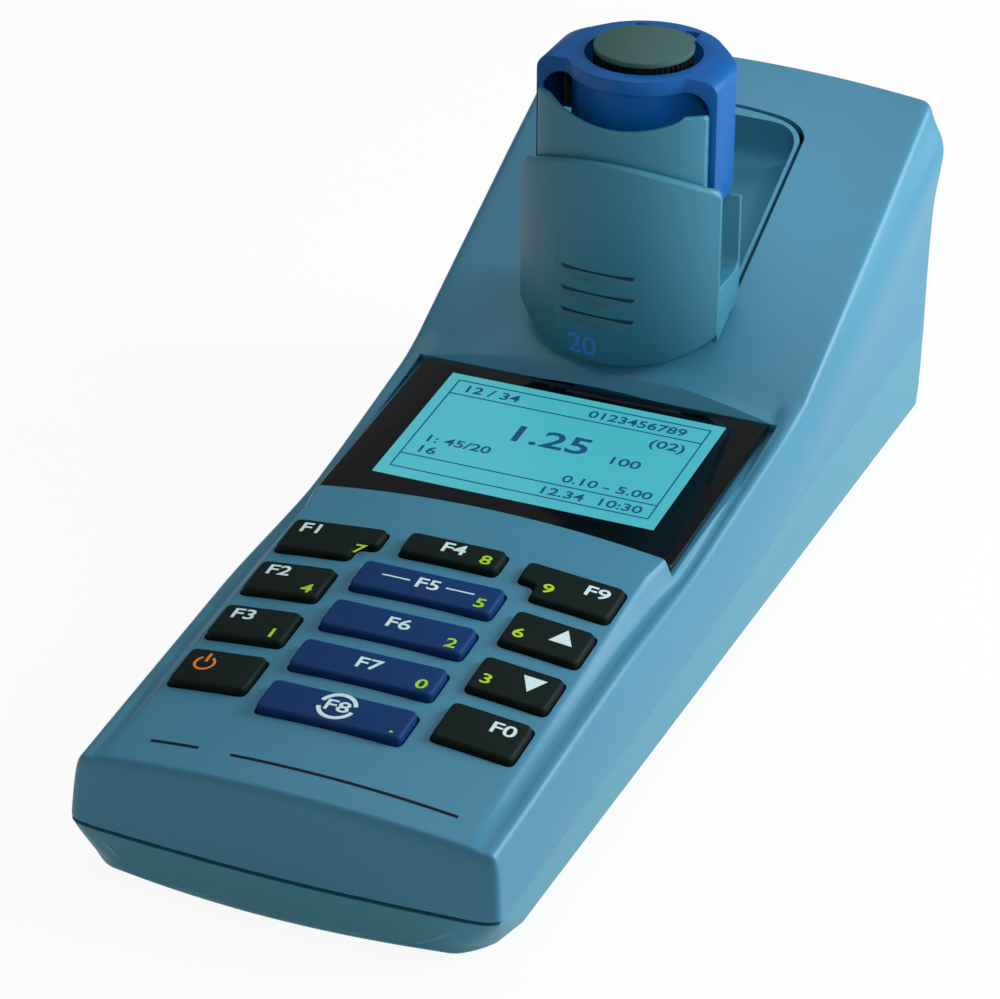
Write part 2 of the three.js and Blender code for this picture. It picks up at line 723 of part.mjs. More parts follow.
// Rear sockets in the lower shell.
const socketHeight = 11;
const socketDepth = 9;
const serialAt = -18;
const serialHalf = 8.5;
const serialTall = 4.4;
const powerAt = 20;
const powerRadius = 5;
const serialCut = box(serialAt - serialHalf - clearance, serialAt + serialHalf + clearance,
  caseLength - 2 * socketDepth, caseLength + overrun,
  socketHeight - serialTall - clearance, socketHeight + serialTall + clearance);
const powerBar = (radius, from, to, sides = 24) => {
  const geometry = new THREE.CylinderGeometry(radius, radius, to - from, sides);
  geometry.translate(powerAt, (from + to) / 2, socketHeight);
  return toSolid(geometry);
};
bottomShell = bottomShell.subtract(serialCut)
  .subtract(powerBar(powerRadius + clearance, caseLength - 2 * socketDepth, caseLength + overrun));
const socketBack = caseLength - socketDepth;
const serialSocket = box(serialAt - serialHalf, serialAt + serialHalf, socketBack, caseLength - clearance,
  socketHeight - serialTall, socketHeight + serialTall)
  .subtract(box(serialAt - serialHalf + bayWall, serialAt + serialHalf - bayWall,
    socketBack + overrun, caseLength,
    socketHeight - serialTall + bayWall, socketHeight + serialTall - bayWall));
const powerSocket = powerBar(powerRadius, socketBack, caseLength - clearance)
  .subtract(powerBar(powerRadius - bayWall, socketBack + overrun, caseLength + overrun))
  .add(powerBar(bayWall, socketBack + overrun / 2, caseLength - overrun, 12));

// Recess insert with its scoop, shaft collar and hinge legs.
const trayBlock = onSlope(prism(recessOutline(recessHalf, recessStart, recessEnd, recessGap),
  -scoopDepth - trayWall, scoopDepth, 6));
const scoopSolid = scoop(0);
const rimThickness = 2.4;
const rimBlock = box(-recessHalf, recessHalf, 0, recessEnd, -rimThickness, scoopDepth);
const trayRim = trayBlock.intersect(onSlope(rimBlock));
const scoopWall = scoop(trayWall).intersect(trayBlock);
const opticsTop = topHeight(towerAt - shaftCollar, 0) - scoopDepth;
const collar = cylinder(shaftCollar, rearHeight, 0, towerAt, opticsTop);
const legs = [-1, 1].map((side) => {
  const inner = Math.min(side * legInner, side * legOuter);
  const outer = Math.max(side * legInner, side * legOuter);
  return crossBar(legHalfDepth, inner, outer, foldAt, foldHeight)
    .add(box(inner, outer, foldAt - legHalfDepth, foldAt + legHalfDepth, opticsTop, foldHeight));
});
let shaftTray = trayRim.add(scoopWall).add(collar).intersect(outerSkin);
shaftTray = shaftTray.subtract(scoopSolid);
for (const leg of legs) {
  shaftTray = shaftTray.add(leg);
}
shaftTray = shaftTray.subtract(cylinder(shaftRadius, 2 * rearHeight, 0, towerAt, 0))
  .subtract(crossBar(pinRadius + clearance, -coverHalf, coverHalf, foldAt, foldHeight));

// Optics: the cell shaft below the recess with a beam bore across it.
const beamHeight = 17;
const beamRadius = 5;
const beamReach = 28;
const armHalf = beamRadius + 2 * trayWall;
const beamBar = (radius, from, to, sides = 20) => {
  const geometry = new THREE.CylinderGeometry(radius, radius, to - from, sides);
  geometry.translate(0, towerAt + (from + to) / 2, beamHeight);
  return toSolid(geometry);
};
const opticsFoot = lowerInside + clearance;
const opticsBlock = cylinder(opticsOuter, rearHeight, 0, towerAt, opticsFoot)
  .add(box(-armHalf, armHalf, towerAt - beamReach, towerAt + beamReach, opticsFoot, beamHeight + armHalf))
  .subtract(box(-recessHalf, recessHalf, 0, caseLength, opticsTop - clearance, 2 * rearHeight))
  .subtract(cylinder(shaftRadius, rearHeight, 0, towerAt, shaftFloor))
  .subtract(beamBar(beamRadius + clearance, -beamReach - overrun, beamReach + overrun));
const lampBody = beamBar(beamRadius, -beamReach + overrun, -shaftRadius - 4 * overrun)
  .add(beamBar(beamRadius / 2, -shaftRadius - 4 * overrun - clearance, -shaftRadius - 3 * overrun, 12));
const beamLens = beamBar(beamRadius, -shaftRadius - 2 * overrun, -shaftRadius - overrun);
const filterGlass = beamBar(beamRadius, shaftRadius + overrun, shaftRadius + 2 * overrun);
const detector = beamBar(beamRadius, shaftRadius + 3 * overrun, beamReach - overrun);

// Board, key mat and screen.
const matTop = -matDepth - keyTravel - clearance / 3;
const matBottom = matTop - matThickness;
const boardTop = matBottom - clearance;
const boardFront = 3 * postRadius + 2 * overrun;
const keyMat = onKeypad(box(-boardHalf, boardHalf, boardFront + overrun, keypadEndAt - 3 * overrun,
  matBottom, matTop));
const mainBoard = onKeypad(box(-boardHalf, boardHalf, boardFront, screenFrontAt - overrun,
  boardTop - boardThickness, boardTop));
const buzzerRadius = 6;
const buzzerHeight = 3;
const buzzer = onKeypad(cylinder(buzzerRadius, buzzerHeight, boardHalf / 2, boardFront + 2 * buzzerRadius,
  boardTop - boardThickness - buzzerHeight - clearance, 20));
function onDisplay(solid) {
  const placed = moved(solid, 0, displayFrontAt, displayFrontHeight);
  return tilted(placed, displayAngle, displayFrontAt, displayFrontHeight);
}
const displayRun = (displayRearAt - displayFrontAt) / Math.cos(displayAngle);
const displayWindow = onDisplay(box(-displayHalf, displayHalf, 0, displayRun, -displayThickness, 0));
const screenGap = displayThickness + clearance;
const screenDepth = 4.4;
const screenModule = onDisplay(box(-screenHalf - overrun / 2, screenHalf + overrun / 2,
  screenFrontAt - displayFrontAt - overrun / 2, screenRearAt - displayFrontAt + overrun / 4,
  -screenGap - screenDepth, -screenGap));

place('top_shell', topShell, 'casing');
place('bottom_shell', bottomShell, 'casing');
place('shaft_tray', shaftTray, 'casing');
place('optics_block', opticsBlock, 'blackPlastic');
place('lamp_module', lampBody, 'metal');
place('beam_lens', beamLens, 'screen');
place('filter_glass', filterGlass, 'screen');
place('detector', detector, 'metal');
place('display_window', displayWindow, 'display');
place('screen_module', screenModule, 'screen');
place('main_board', mainBoard, 'board');
place('key_mat', keyMat, 'blackRubber');
place('buzzer', buzzer, 'blackPlastic');
for (const key of keys) {
  place(key.name, keyBody(key.outline), key.finish);
}
place('battery_bay', batteryBay, 'blackPlastic');
place('battery_door', batteryDoor, 'casing');
place('battery_contacts_front', contacts[0], 'metal');
place('battery_contacts_rear', contacts[1], 'metal');
for (let i = 0; i < cellCount; i += 1) {
  const geometry = new THREE.CylinderGeometry(cellRadius, cellRadius, cellLength - 2 * clearance, 20);
  geometry.translate((i - (cellCount - 1) / 2) * cellPitch, cellFrontAt + cellLength / 2, cellHeight);
  place(`battery_cell_${i + 1}`, toSolid(geometry), 'cell');
}
place('serial_socket', serialSocket, 'metal');
place('power_socket', powerSocket, 'blackPlastic');
screws.forEach((screw, i) => place(`case_screw_${i + 1}`, screw, 'metal'));
const footHalf = 8;
const footDepth = 6;
const footCorner = 2;
for (const [x, at] of postPlaces) {
  const end = at < caseLength / 2 ? 'front' : 'rear';
  const side = x < 0 ? 'left' : 'right';
  const centreX = x - Math.sign(x) * (footHalf + screwHeadRadius + overrun);
  const shape = roundedRectangle(centreX - footHalf, centreX + footHalf,
    at - footDepth / 2, at + footDepth / 2, footCorner);
  const footTop = footHeight - keelDepth(at - footDepth) - clearance / 6;
  place(`foot_${end}_${side}`, prism(shape, -keelFront, footTop, 4), 'foot');
}
// Tower cover: a curved front wall between an arched top edge and a round bottom edge.
const coverBulge = coverCornerAt - coverFrontAt;
const coverRadius = (coverHalf ** 2 + coverBulge ** 2) / (2 * coverBulge);
const coverCentreAt = coverFrontAt + coverRadius;
const coverSides = 72;
const coverRound = (radius, z0, z1) => cylinder(radius, z1 - z0, 0, coverCentreAt, z0, coverSides);
const coverInner = coverRadius - coverWall;
const frameOuter = coverHalf - 2 * clearance;
const coverBack = coverCentreAt - Math.sqrt(coverInner ** 2 - (frameOuter - clearance) ** 2);
const coverCurveShare = 0.7;
const coverFace = new THREE.Shape();
const coverCurve = coverHalf * coverCurveShare;
coverFace.moveTo(-coverHalf, coverBottomHeight + coverBottomArch);
coverFace.quadraticCurveTo(-coverCurve, coverBottomHeight, 0, coverBottomHeight);
coverFace.quadraticCurveTo(coverCurve, coverBottomHeight, coverHalf, coverBottomHeight + coverBottomArch);
coverFace.lineTo(coverHalf, coverTopHeight - coverTopArch);
coverFace.quadraticCurveTo(0, coverTopHeight + coverTopArch, -coverHalf, coverTopHeight - coverTopArch);
const towerLow = coverBottomHeight - overrun;
const towerHigh = coverTopHeight + overrun;
let coverShell = coverRound(coverRadius, towerLow, towerHigh)
  .subtract(coverRound(coverInner, towerLow - overrun, towerHigh + overrun))
  .intersect(frontProfile(coverFace, coverFrontAt - overrun, coverBack, 10));

// Three finger grooves, flat above and round below.
const gripHalf = 8.6;
const gripDrop = 2.6;
const gripDepth = 0.6;
const gripPitch = 4.5;
const gripTop = 54;
for (let i = 0; i < 3; i += 1) {
  const top = gripTop - i * gripPitch;
  const lens = new THREE.Shape();
  lens.moveTo(-gripHalf, top);
  lens.quadraticCurveTo(0, top - 2 * gripDrop, gripHalf, top);
  const cutter = frontProfile(lens, coverFrontAt - overrun, coverCornerAt, 6)
    .subtract(coverRound(coverRadius - gripDepth, towerLow, towerHigh));
  coverShell = coverShell.subtract(cutter);
}

// Side frame: a floor with a raised bottom rail and rear post, and the boss of the fold pin.
const frameFront = coverBack + 2 * clearance;
const frameLow = (at) => topHeight(at, 0) + 2 * clearance;
const bossRadius = 6.1;
const plateLow = adapterTopHeight - adapterPlate;
const trackHeight = adapterWallBottom - adapterTravel - clearance;
const floorTop = plateLow - earRadius - adapterTravel - clearance;
const frameShape = polygon([
  [frameFront, frameLow(frameFront)],
  [foldAt, frameLow(foldAt)],
  [frameRearAt, foldHeight - overrun],
  [frameRearAt, frameTopHeight],
  [frameFront, frameTopHeight],
]);
const trackShape = polygon([
  [frameFront - overrun, trackHeight],
  [foldAt + overrun, trackHeight],
  [frameRearAt - clearance * 3, trackHeight + overrun],
  [frameRearAt - clearance * 3, frameTopHeight + overrun],
  [frameFront - overrun, frameTopHeight + overrun],
]);
const bossClear = sideProfile(polygon([
  [foldAt, 0], [caseLength, 0], [caseLength, foldHeight], [foldAt, foldHeight],
]), -coverHalf, coverHalf).subtract(crossBar(bossRadius, -coverHalf, coverHalf, foldAt, foldHeight, 32));
const sideFrame = sideProfile(frameShape, frameFloorHalf - frameWall, frameOuter)
  .subtract(box(0, frameFloorHalf, 0, frameRearAt - 3 * clearance, floorTop, towerHigh))
  .subtract(sideProfile(trackShape, frameFloorHalf, frameOuter + overrun))
  .subtract(bossClear)
  .subtract(crossBar(pinRadius + clearance, 0, adapterHalf - clearance, foldAt, foldHeight));
const mirrored = (solid) => solid.mirror([1, 0, 0]);
const pin = crossBar(pinRadius, legInner, adapterHalf - 2 * clearance, foldAt, foldHeight);

// Adapter: a plate with two ears, side walls, and the cell tube under a round hole.
const collarWall = 1.3;
const adapterRound = tubeRadius + collarWall;
const rearTurn = Math.PI / 4;
const frontTurnShare = 0.21;
const frontTurn = Math.PI * frontTurnShare;
const adapterChamferAt = frameRearAt - clearance;
const earFrontAt = frameFront;
const earCurve = 2;
const plate = new THREE.Shape();
plate.moveTo(adapterHalf, earFrontAt);
plate.lineTo(adapterHalf, adapterChamferAt);
plate.absarc(0, towerAt, adapterRear, rearTurn, Math.PI - rearTurn);
plate.lineTo(-adapterHalf, adapterChamferAt);
plate.lineTo(-adapterHalf, earFrontAt);
plate.lineTo(-tubeRadius, earFrontAt);
plate.quadraticCurveTo(earCurve - tubeRadius, earFrontAt,
  -adapterRound * Math.cos(frontTurn), towerAt - adapterRound * Math.sin(frontTurn));
plate.absarc(0, towerAt, adapterRound, Math.PI + frontTurn, 2 * Math.PI - frontTurn);
plate.quadraticCurveTo(tubeRadius - earCurve, earFrontAt, tubeRadius, earFrontAt);
const tubeLow = adapterTopHeight - tubeLength;
let adapter = prism(plate, plateLow, adapterTopHeight, 16)
  .add(cylinder(tubeRadius, tubeLength - adapterPlate + clearance, 0, towerAt, tubeLow, 40));
const earInner = adapterHalf - adapterWall;
const adapterSide = sideProfile(polygon([
  [earFrontAt, adapterWallBottom],
  [adapterChamferAt - 2 * overrun, adapterWallBottom],
  [adapterChamferAt - clearance * 3, adapterWallBottom + overrun],
  [adapterChamferAt - clearance * 3, adapterTopHeight - overrun / 2],
  [earFrontAt, adapterTopHeight - overrun / 2],
]), earInner, adapterHalf);
const earBar = tilted(cylinder(earRadius, caseLength, 0, 0, -caseLength / 2, 24), Math.PI / 2, 0, 0);
const earFillet = box(earInner - earRadius, earInner + clearance, earFrontAt, towerAt,
  plateLow - earRadius, plateLow + clearance)
  .subtract(moved(earBar, earInner - earRadius, towerAt, plateLow - earRadius));
adapter = adapter.add(adapterSide).add(mirrored(adapterSide)).add(earFillet).add(mirrored(earFillet));
const ledgeThickness = 1.5;
const ledgeWidth = 1.1;
const ledgeRadius = plugRadius - ledgeWidth;
const ledgeTop = tubeLow + ledgeThickness;
adapter = adapter
  .subtract(cylinder(boreRadius, tubeLength, 0, towerAt, ledgeTop, 40))
  .subtract(cylinder(ledgeRadius, tubeLength, 0, towerAt, ledgeTop - tubeLength / 2, 32));

// Two index notches in the rear of the hole.
const indexHalf = 1.6;
const indexDepth = 1.6;
const indexSideShare = 0.45;
const indexStartShare = 0.7;
for (const side of [-1, 1]) {
  const x = side * boreRadius * indexSideShare;
  adapter = adapter.subtract(box(x - indexHalf, x + indexHalf, towerAt + boreRadius * indexStartShare,
    towerAt + boreRadius + indexDepth, plateLow, adapterTopHeight + overrun));
}

// Sliding panel between the cover and the adapter, dished along its top edge.
const panelOuter = coverInner - clearance - clearance / 2;
const panelFlatShare = 0.78;
const panelFace = new THREE.Shape();
panelFace.moveTo(-panelHalf, panelBottomHeight);
panelFace.lineTo(panelHalf, panelBottomHeight);
panelFace.lineTo(panelHalf, panelTopHeight);
panelFace.lineTo(panelHalf * panelFlatShare, panelTopHeight);
panelFace.quadraticCurveTo(0, panelTopHeight - panelDip, -panelHalf * panelFlatShare, panelTopHeight);
panelFace.lineTo(-panelHalf, panelTopHeight);
const slidePanel = coverRound(panelOuter, panelBottomHeight, panelTopHeight)
  .subtract(coverRound(panelOuter - panelThickness, panelBottomHeight - overrun, panelTopHeight + overrun))
  .intersect(frontProfile(panelFace, coverFrontAt, towerAt, 10));

// Light-tight plug standing in the adapter.
const plugTop = adapterTopHeight + plugProud;
const discLow = plugTop - plugDiscThickness;
const plugGap = clearance / 3;
const plugSkirt = cylinder(plugRadius, discLow - ledgeTop - 2 * plugGap, 0, towerAt, ledgeTop + plugGap, 36);
const plugDisc = cylinder(plugRadius, plugDiscThickness, 0, towerAt, discLow, 40);

place('cover_shell', coverShell, 'tower');
place('cover_frame_right', sideFrame, 'tower');
place('cover_frame_left', mirrored(sideFrame), 'tower');
place('fold_pin_right', pin, 'metal');
place('fold_pin_left', mirrored(pin), 'metal');
place('adapter', adapter, 'adapter');
place('slide_panel', slidePanel, 'tower');
place('plug_skirt', plugSkirt, 'blackPlastic');
place('plug_disc', plugDisc, 'disc');

const casingBox = outerSkin.boundingBox();
model.position.set(0, -(casingBox.min[1] + casingBox.max[1]) / 2, keelFront);

export default model;
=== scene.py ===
"""A handheld photometer: the looks of its pieces, in metres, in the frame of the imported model."""
import math

import bpy
from mathutils import Matrix, Vector


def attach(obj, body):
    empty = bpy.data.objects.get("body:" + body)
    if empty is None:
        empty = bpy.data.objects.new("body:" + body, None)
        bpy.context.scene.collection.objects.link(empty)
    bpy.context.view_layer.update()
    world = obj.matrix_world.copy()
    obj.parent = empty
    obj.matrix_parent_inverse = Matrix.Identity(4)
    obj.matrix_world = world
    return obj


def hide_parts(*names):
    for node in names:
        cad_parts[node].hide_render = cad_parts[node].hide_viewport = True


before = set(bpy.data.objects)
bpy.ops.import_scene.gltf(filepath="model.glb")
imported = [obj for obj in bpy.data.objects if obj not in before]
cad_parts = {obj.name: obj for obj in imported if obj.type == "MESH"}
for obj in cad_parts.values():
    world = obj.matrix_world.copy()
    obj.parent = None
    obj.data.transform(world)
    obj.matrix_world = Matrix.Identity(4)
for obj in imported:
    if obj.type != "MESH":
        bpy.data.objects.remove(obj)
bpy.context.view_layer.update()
MM = 0.001
scene = bpy.context.scene

# Sizes in millimetres. A distance named ..._AT runs back from the front seam. A height stands on the base datum.
CASE_LENGTH, CASE_FRONT, CASE_REAR, SHOULDER = 222, 82.4, 86, 91
FRONT_HEIGHT, REAR_HEIGHT = 22.3, 71
KEYPAD_RISE, KEYPAD_END, BROW_AT, BROW_HEIGHT = 9.75, 89.6, 146, 35.2
SLOPE_AT, SLOPE_FOOT = 150, 36.8
FACE_HALF = 35.8
WALL, EDGE, CORNER, HULL_CORNER, CHEEK = 2.6, 1.4, 1.8, 11, 1.2
KEEL_FRONT, KEEL_REAR, REAR_LEAN = 2.6, 0.7, 2.8
SEAM_FRONT, SEAM_REAR = 6.3, 19.6
FOLD_AT, FOLD_HEIGHT, TOWER_AT = 163, 50.2, 165.8
DISPLAY_FRONT, DISPLAY_REAR, DISPLAY_LOW, DISPLAY_HIGH = 90.9, 143.5, 27.9, 32.2
RECESS_END, SCOOP_END, RECESS_GAP = 54.2, 52.2, 0.8
SHAFT_REACH = 19.6
POST_PLACES = ((31.4, 10.8), (33.2, 211.2))
SOCKET_X, JACK_X, SOCKET_HEIGHT = -18, 20, 11
SOCKET_FRONT, SOCKET_FLOOR, SOCKET_FACE = 213, 215, 221.7
KEY_INNER, KEY_OUTER, NOTCH_INNER, NOTCH_DEPTH, WIDE_HALF, SMALL_HALF = 18.1, 33.4, 14.2, 4.2, 14, 9.7
KEY_TURN, KEY_STAND = 1.6, 1.4
BEYOND = 60
GAP = 0.3
ORIGIN_AT = 110.3185537

SLOPE_TILT = math.atan2(REAR_HEIGHT - SLOPE_FOOT, CASE_LENGTH - SLOPE_AT)
KEYPAD_TILT = math.atan2(KEYPAD_RISE, KEYPAD_END)
DISPLAY_TILT = math.atan2(DISPLAY_HIGH - DISPLAY_LOW, DISPLAY_REAR - DISPLAY_FRONT)


# ---- places: each turns millimetres of its own frame into the row frame ----

def frame_at(at, height, tilt):
    return FLAT @ Matrix.Translation((0, at, height)) @ Matrix.Rotation(tilt, 4, "X")


FLAT = Matrix.Scale(MM, 4) @ Matrix.Translation((0, -ORIGIN_AT, KEEL_FRONT))
SWAPPED = Matrix(((1, 0, 0, 0), (0, 0, 1, 0), (0, 1, 0, 0), (0, 0, 0, 1)))
ALONG = Matrix(((0, 0, 1, 0), (1, 0, 0, 0), (0, 1, 0, 0), (0, 0, 0, 1)))
FRONTAL = FLAT @ SWAPPED
SIDEWAYS = FLAT @ ALONG
KEYPAD = frame_at(0, FRONT_HEIGHT, KEYPAD_TILT)
DISPLAY = frame_at(DISPLAY_FRONT, DISPLAY_LOW, DISPLAY_TILT)
SLOPE = frame_at(FOLD_AT, SLOPE_FOOT + (FOLD_AT - SLOPE_AT) * math.tan(SLOPE_TILT), SLOPE_TILT)


# ---- shader maths ----

class Value:
    """A socket of a finish, so that sums of sockets read as sums."""

    def __init__(self, finish, socket):
        self.finish = finish
        self.socket = socket

    def math(self, operation, *others):
        return self.finish.node("Math", {"operation": operation}, dict(enumerate((self, *others))))

    def __radd__(self, other):
        return self.math("ADD", other)

    def __mul__(self, other):
        return self.math("MULTIPLY", other)

    def __rmul__(self, other):
        return self.math("MULTIPLY", other)


class Finish:
    """A material that is built node by node."""

    def __init__(self, name, **plain):
        self.material = bpy.data.materials.new(name)
        self.material.use_nodes = True
        self.tree = self.material.node_tree
        self.shader = self.tree.nodes["Principled BSDF"]
        for socket, value in plain.items():
            self.feed(self.shader.inputs[socket.replace("_", " ")], value)

    def feed(self, socket, value):
        if isinstance(value, Value):
            self.tree.links.new(value.socket, socket)
        else:
            socket.default_value = value

    def node(self, kind, settings, values, output=0):
        made = self.tree.nodes.new("ShaderNode" + kind)
        for name, value in settings.items():
            setattr(made, name, value)
        for name, value in values.items():
            self.feed(made.inputs[name], value)
        return Value(self, made.outputs[output])

    def place(self):
        return self.node("TexCoord", {}, {}, "Object")

    def noise(self, grain, detail=3.0, roughness=0.55):
        """Soft noise whose lumps are about grain metres across."""
        return self.node("TexNoise", {}, {"Vector": self.place(), "Scale": 1 / grain, "Detail": detail,
                                          "Roughness": roughness})

    def mix(self, share, first, second):
        made = self.node("Mix", {"data_type": "RGBA"}, {})
        node = made.socket.node
        for index, value in ((0, share), (6, first), (7, second)):
            self.feed(node.inputs[index], value)
        return Value(self, node.outputs[2])

    def bump(self, height, depth, strength=1.0):
        made = self.node("Bump", {}, {"Height": height, "Distance": depth, "Strength": strength})
        self.feed(self.shader.inputs["Normal"], made)

    def set(self, name, value):
        self.feed(self.shader.inputs[name], value)


def tone(red, green, blue):
    """A linear colour from the eight-bit one that a screen shows."""
    shares = [c / 255 for c in (red, green, blue)]
    return tuple(((share + 0.055) / 1.055) ** 2.4 if share > 0.04 else share / 12.92 for share in shares) + (1,)


def shade(colour, factor):
    return tuple(c * factor for c in colour[:3]) + (1,)


def moulded(name, colour, rough=0.42, grain=0.25 * MM, depth=0.02 * MM, mottle=0.06, shine=0.5):
    """Moulded plastic: a fine grain, and a slow change of tone and gloss over the piece."""
    finish = Finish(name, IOR=1.5, Specular_IOR_Level=shine)
    slow = finish.noise(18 * MM, 4)
    fine = finish.noise(grain, 2)
    finish.set("Base Color", finish.mix(slow, shade(colour, 1 - mottle), shade(colour, 1 + mottle)))
    finish.set("Roughness", rough - 0.06 + 0.12 * slow)
    finish.bump(fine, depth)
    return finish


finishes = {
    "casing": moulded("casing_plastic", tone(54, 124, 152), shine=0.4),
    # The hull finish is the casing's plastic made a little lighter and greener: painted light of the floor's bounce
    # on the lower shell.
    "hull": moulded("hull_plastic", tone(60, 131, 152), shine=0.4),
    "tower_plastic": moulded("tower_plastic", tone(47, 112, 134), 0.45, shine=0.35),
    "adapter_plastic": moulded("adapter_plastic", tone(3, 80, 146), 0.42, 0.4 * MM, 0.015 * MM, shine=0.2),
    "navy_rubber": moulded("navy_rubber", tone(2, 50, 104), 0.55, 0.2 * MM, shine=0.15),
    "black_rubber": moulded("black_rubber", tone(6, 24, 20), 0.6, 0.2 * MM, shine=0.12),
    "window": moulded("window_acrylic", tone(2, 6, 10), 0.1, 2 * MM, 0.0, shine=0.25),
    "optical_glass": moulded("optical_glass", tone(150, 190, 200), 0.08, 2 * MM, 0.0),
    "board": moulded("board_resin", tone(20, 80, 50), 0.4, 0.6 * MM),
    "foot_rubber": moulded("foot_rubber", tone(30, 32, 34), 0.75, 0.3 * MM, 0.04 * MM),
    "plug_top": moulded("plug_top", tone(56, 86, 84), 0.75, 0.5 * MM, 0.12 * MM, 0.15, 0.25),
    "cell_jacket": moulded("cell_jacket", tone(40, 44, 50), 0.3),
    "black_plastic": moulded("black_plastic", tone(12, 14, 16), 0.45, shine=0.3),
    "steel": moulded("steel", tone(180, 182, 185), 0.28, 0.2 * MM, 0.004 * MM),
}
finishes["steel"].set("Metallic", 1.0)
screen = Finish("screen_glow", Roughness=0.3)
screen.set("Base Color", tone(20, 60, 70))
screen.set("Emission Color", tone(72, 180, 192))
screen.set("Emission Strength", 0.9)
finishes["screen"] = screen


# ---- modelling helpers ----

def deselect():
    if bpy.context.object and bpy.context.object.mode != "OBJECT":
        bpy.ops.object.mode_set(mode="OBJECT")
    bpy.ops.object.select_all(action="DESELECT")


def pick(piece):
    deselect()
    piece.select_set(True)
    bpy.context.view_layer.objects.active = piece


def set_in(piece, place):
    """Puts a new piece's place into its mesh and turns its faces outwards."""
    piece.data.transform(place)
    pick(piece)
    bpy.ops.object.mode_set(mode="EDIT")
    bpy.ops.mesh.select_all(action="SELECT")
    bpy.ops.mesh.normals_make_consistent(inside=False)
    bpy.ops.object.mode_set(mode="OBJECT")
    return piece


def slab(outline, low, high, place):
    """A plate: a round primitive pulled to an outline and extruded between two levels."""
    deselect()
    bpy.ops.mesh.primitive_circle_add(vertices=len(outline), radius=1, fill_type="NGON")
    piece = bpy.context.object
    for vertex, (x, y) in zip(piece.data.vertices, outline):
        vertex.co = (x, y, low)
    bpy.ops.object.mode_set(mode="EDIT")
    bpy.ops.mesh.select_all(action="SELECT")
    bpy.ops.mesh.extrude_region_move(TRANSFORM_OT_translate={"value": (0, 0, high - low)})
    bpy.ops.object.mode_set(mode="OBJECT")
    return set_in(piece, place)


def block(x0, x1, y0, y1, z0, z1):
    return slab(rectangle(x0, x1, y0, y1), z0, z1, FLAT)


def disc(radius, low, high, place, x=0, y=0, sides=64):
    ring = [(x + radius * math.cos(2 * math.pi * i / sides), y + radius * math.sin(2 * math.pi * i / sides))
            for i in range(sides)]
    return slab(ring, low, high, place)


def modify(piece, kind, **settings):
    pick(piece)
    made = piece.modifiers.new(kind.lower(), kind)
    for name, value in settings.items():
        setattr(made, name, value)
    bpy.ops.object.modifier_apply(modifier=made.name)
    return piece


def join_by(piece, tools, operation="DIFFERENCE"):
    """Cuts, joins or keeps the overlap with each tool, and drops the tools."""
    for tool in tools if isinstance(tools, (list, tuple)) else [tools]:
        modify(piece, "BOOLEAN", object=tool, operation=operation, solver="EXACT")
        bpy.data.objects.remove(tool)
    return piece


def soften(piece, width, segments=2, angle=50, merge=0.15, clamp=False):
    """Rounds the sharp edges of a piece by a width in millimetres, after merging the slivers that cuts leave."""
    pick(piece)
    bpy.ops.object.mode_set(mode="EDIT")
    bpy.ops.mesh.select_all(action="SELECT")
    bpy.ops.mesh.remove_doubles(threshold=merge * MM)
    bpy.ops.object.mode_set(mode="OBJECT")
    return modify(piece, "BEVEL", width=width * MM, segments=segments, limit_method="ANGLE",
                  angle_limit=math.radians(angle), use_clamp_overlap=clamp)


def finish_piece(piece, name, finish, body, stands_for=(), angle=35):
    pick(piece)
    piece.name = name
    bpy.ops.object.shade_smooth_by_angle(angle=math.radians(angle))
    piece.data.materials.clear()
    piece.data.materials.append(finish.material)
    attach(piece, body)
    if stands_for:
        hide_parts(*stands_for)
    return piece


def rounded(outline, radius, steps=5):
    """An outline with every corner turned by a short arc."""
    result = []
    for i, here in enumerate(outline):
        here = Vector(here)
        before = Vector(outline[i - 1])
        after = Vector(outline[(i + 1) % len(outline)])
        start = here + (before - here).normalized() * radius
        end = here + (after - here).normalized() * radius
        for k in range(steps + 1):
            t = k / steps
            result.append(tuple(start * (1 - t) ** 2 + here * 2 * t * (1 - t) + end * t ** 2))
    return result


def rectangle(x0, x1, y0, y1):
    return [(x0, y0), (x1, y0), (x1, y1), (x0, y1)]


def curve(start, bend, end, steps=16):
    """Points of a quadratic curve, without its start."""
    points = []
    for k in range(1, steps + 1):
        t = k / steps
        points.append(tuple(start[i] * (1 - t) ** 2 + bend[i] * 2 * t * (1 - t) + end[i] * t ** 2 for i in (0, 1)))
    return points


# ---- skin of the casing ----

def along(at, places, blur=0):
    """Straight-line reading between places, with its corners rounded over a blur."""
    if blur:
        return sum(along(at + step * blur / 2, places) for step in (-1, -0.5, 0, 0.5, 1)) / 5
    if at <= places[0][0]:
        return places[0][1]
    for (a, low), (b, high) in zip(places, places[1:]):
        if at <= b:
            return low + (high - low) * (at - a) / (b - a)
    return places[-1][1]


def centre_height(at, blur=2):
    return along(at, [(0, FRONT_HEIGHT), (KEYPAD_END, FRONT_HEIGHT + KEYPAD_RISE), (BROW_AT, BROW_HEIGHT),
                      (SLOPE_AT, SLOPE_FOOT),
                      (CASE_LENGTH + 20, SLOPE_FOOT + (CASE_LENGTH + 20 - SLOPE_AT) * math.tan(SLOPE_TILT))], blur)


def top_height(at, x):
    return centre_height(at) - along(at, [(BROW_AT, 2.66), (SLOPE_AT + WALL, 2)]) * (x / FACE_HALF) ** 2


def rail_crest(at):
    return along(at, [(0, 18.9), (62.4, 24.4), (96, 25.1), (BROW_AT, top_height(BROW_AT, FACE_HALF)),
                      (CASE_LENGTH + 6, top_height(CASE_LENGTH + 6, CASE_FRONT / 2))], 10)


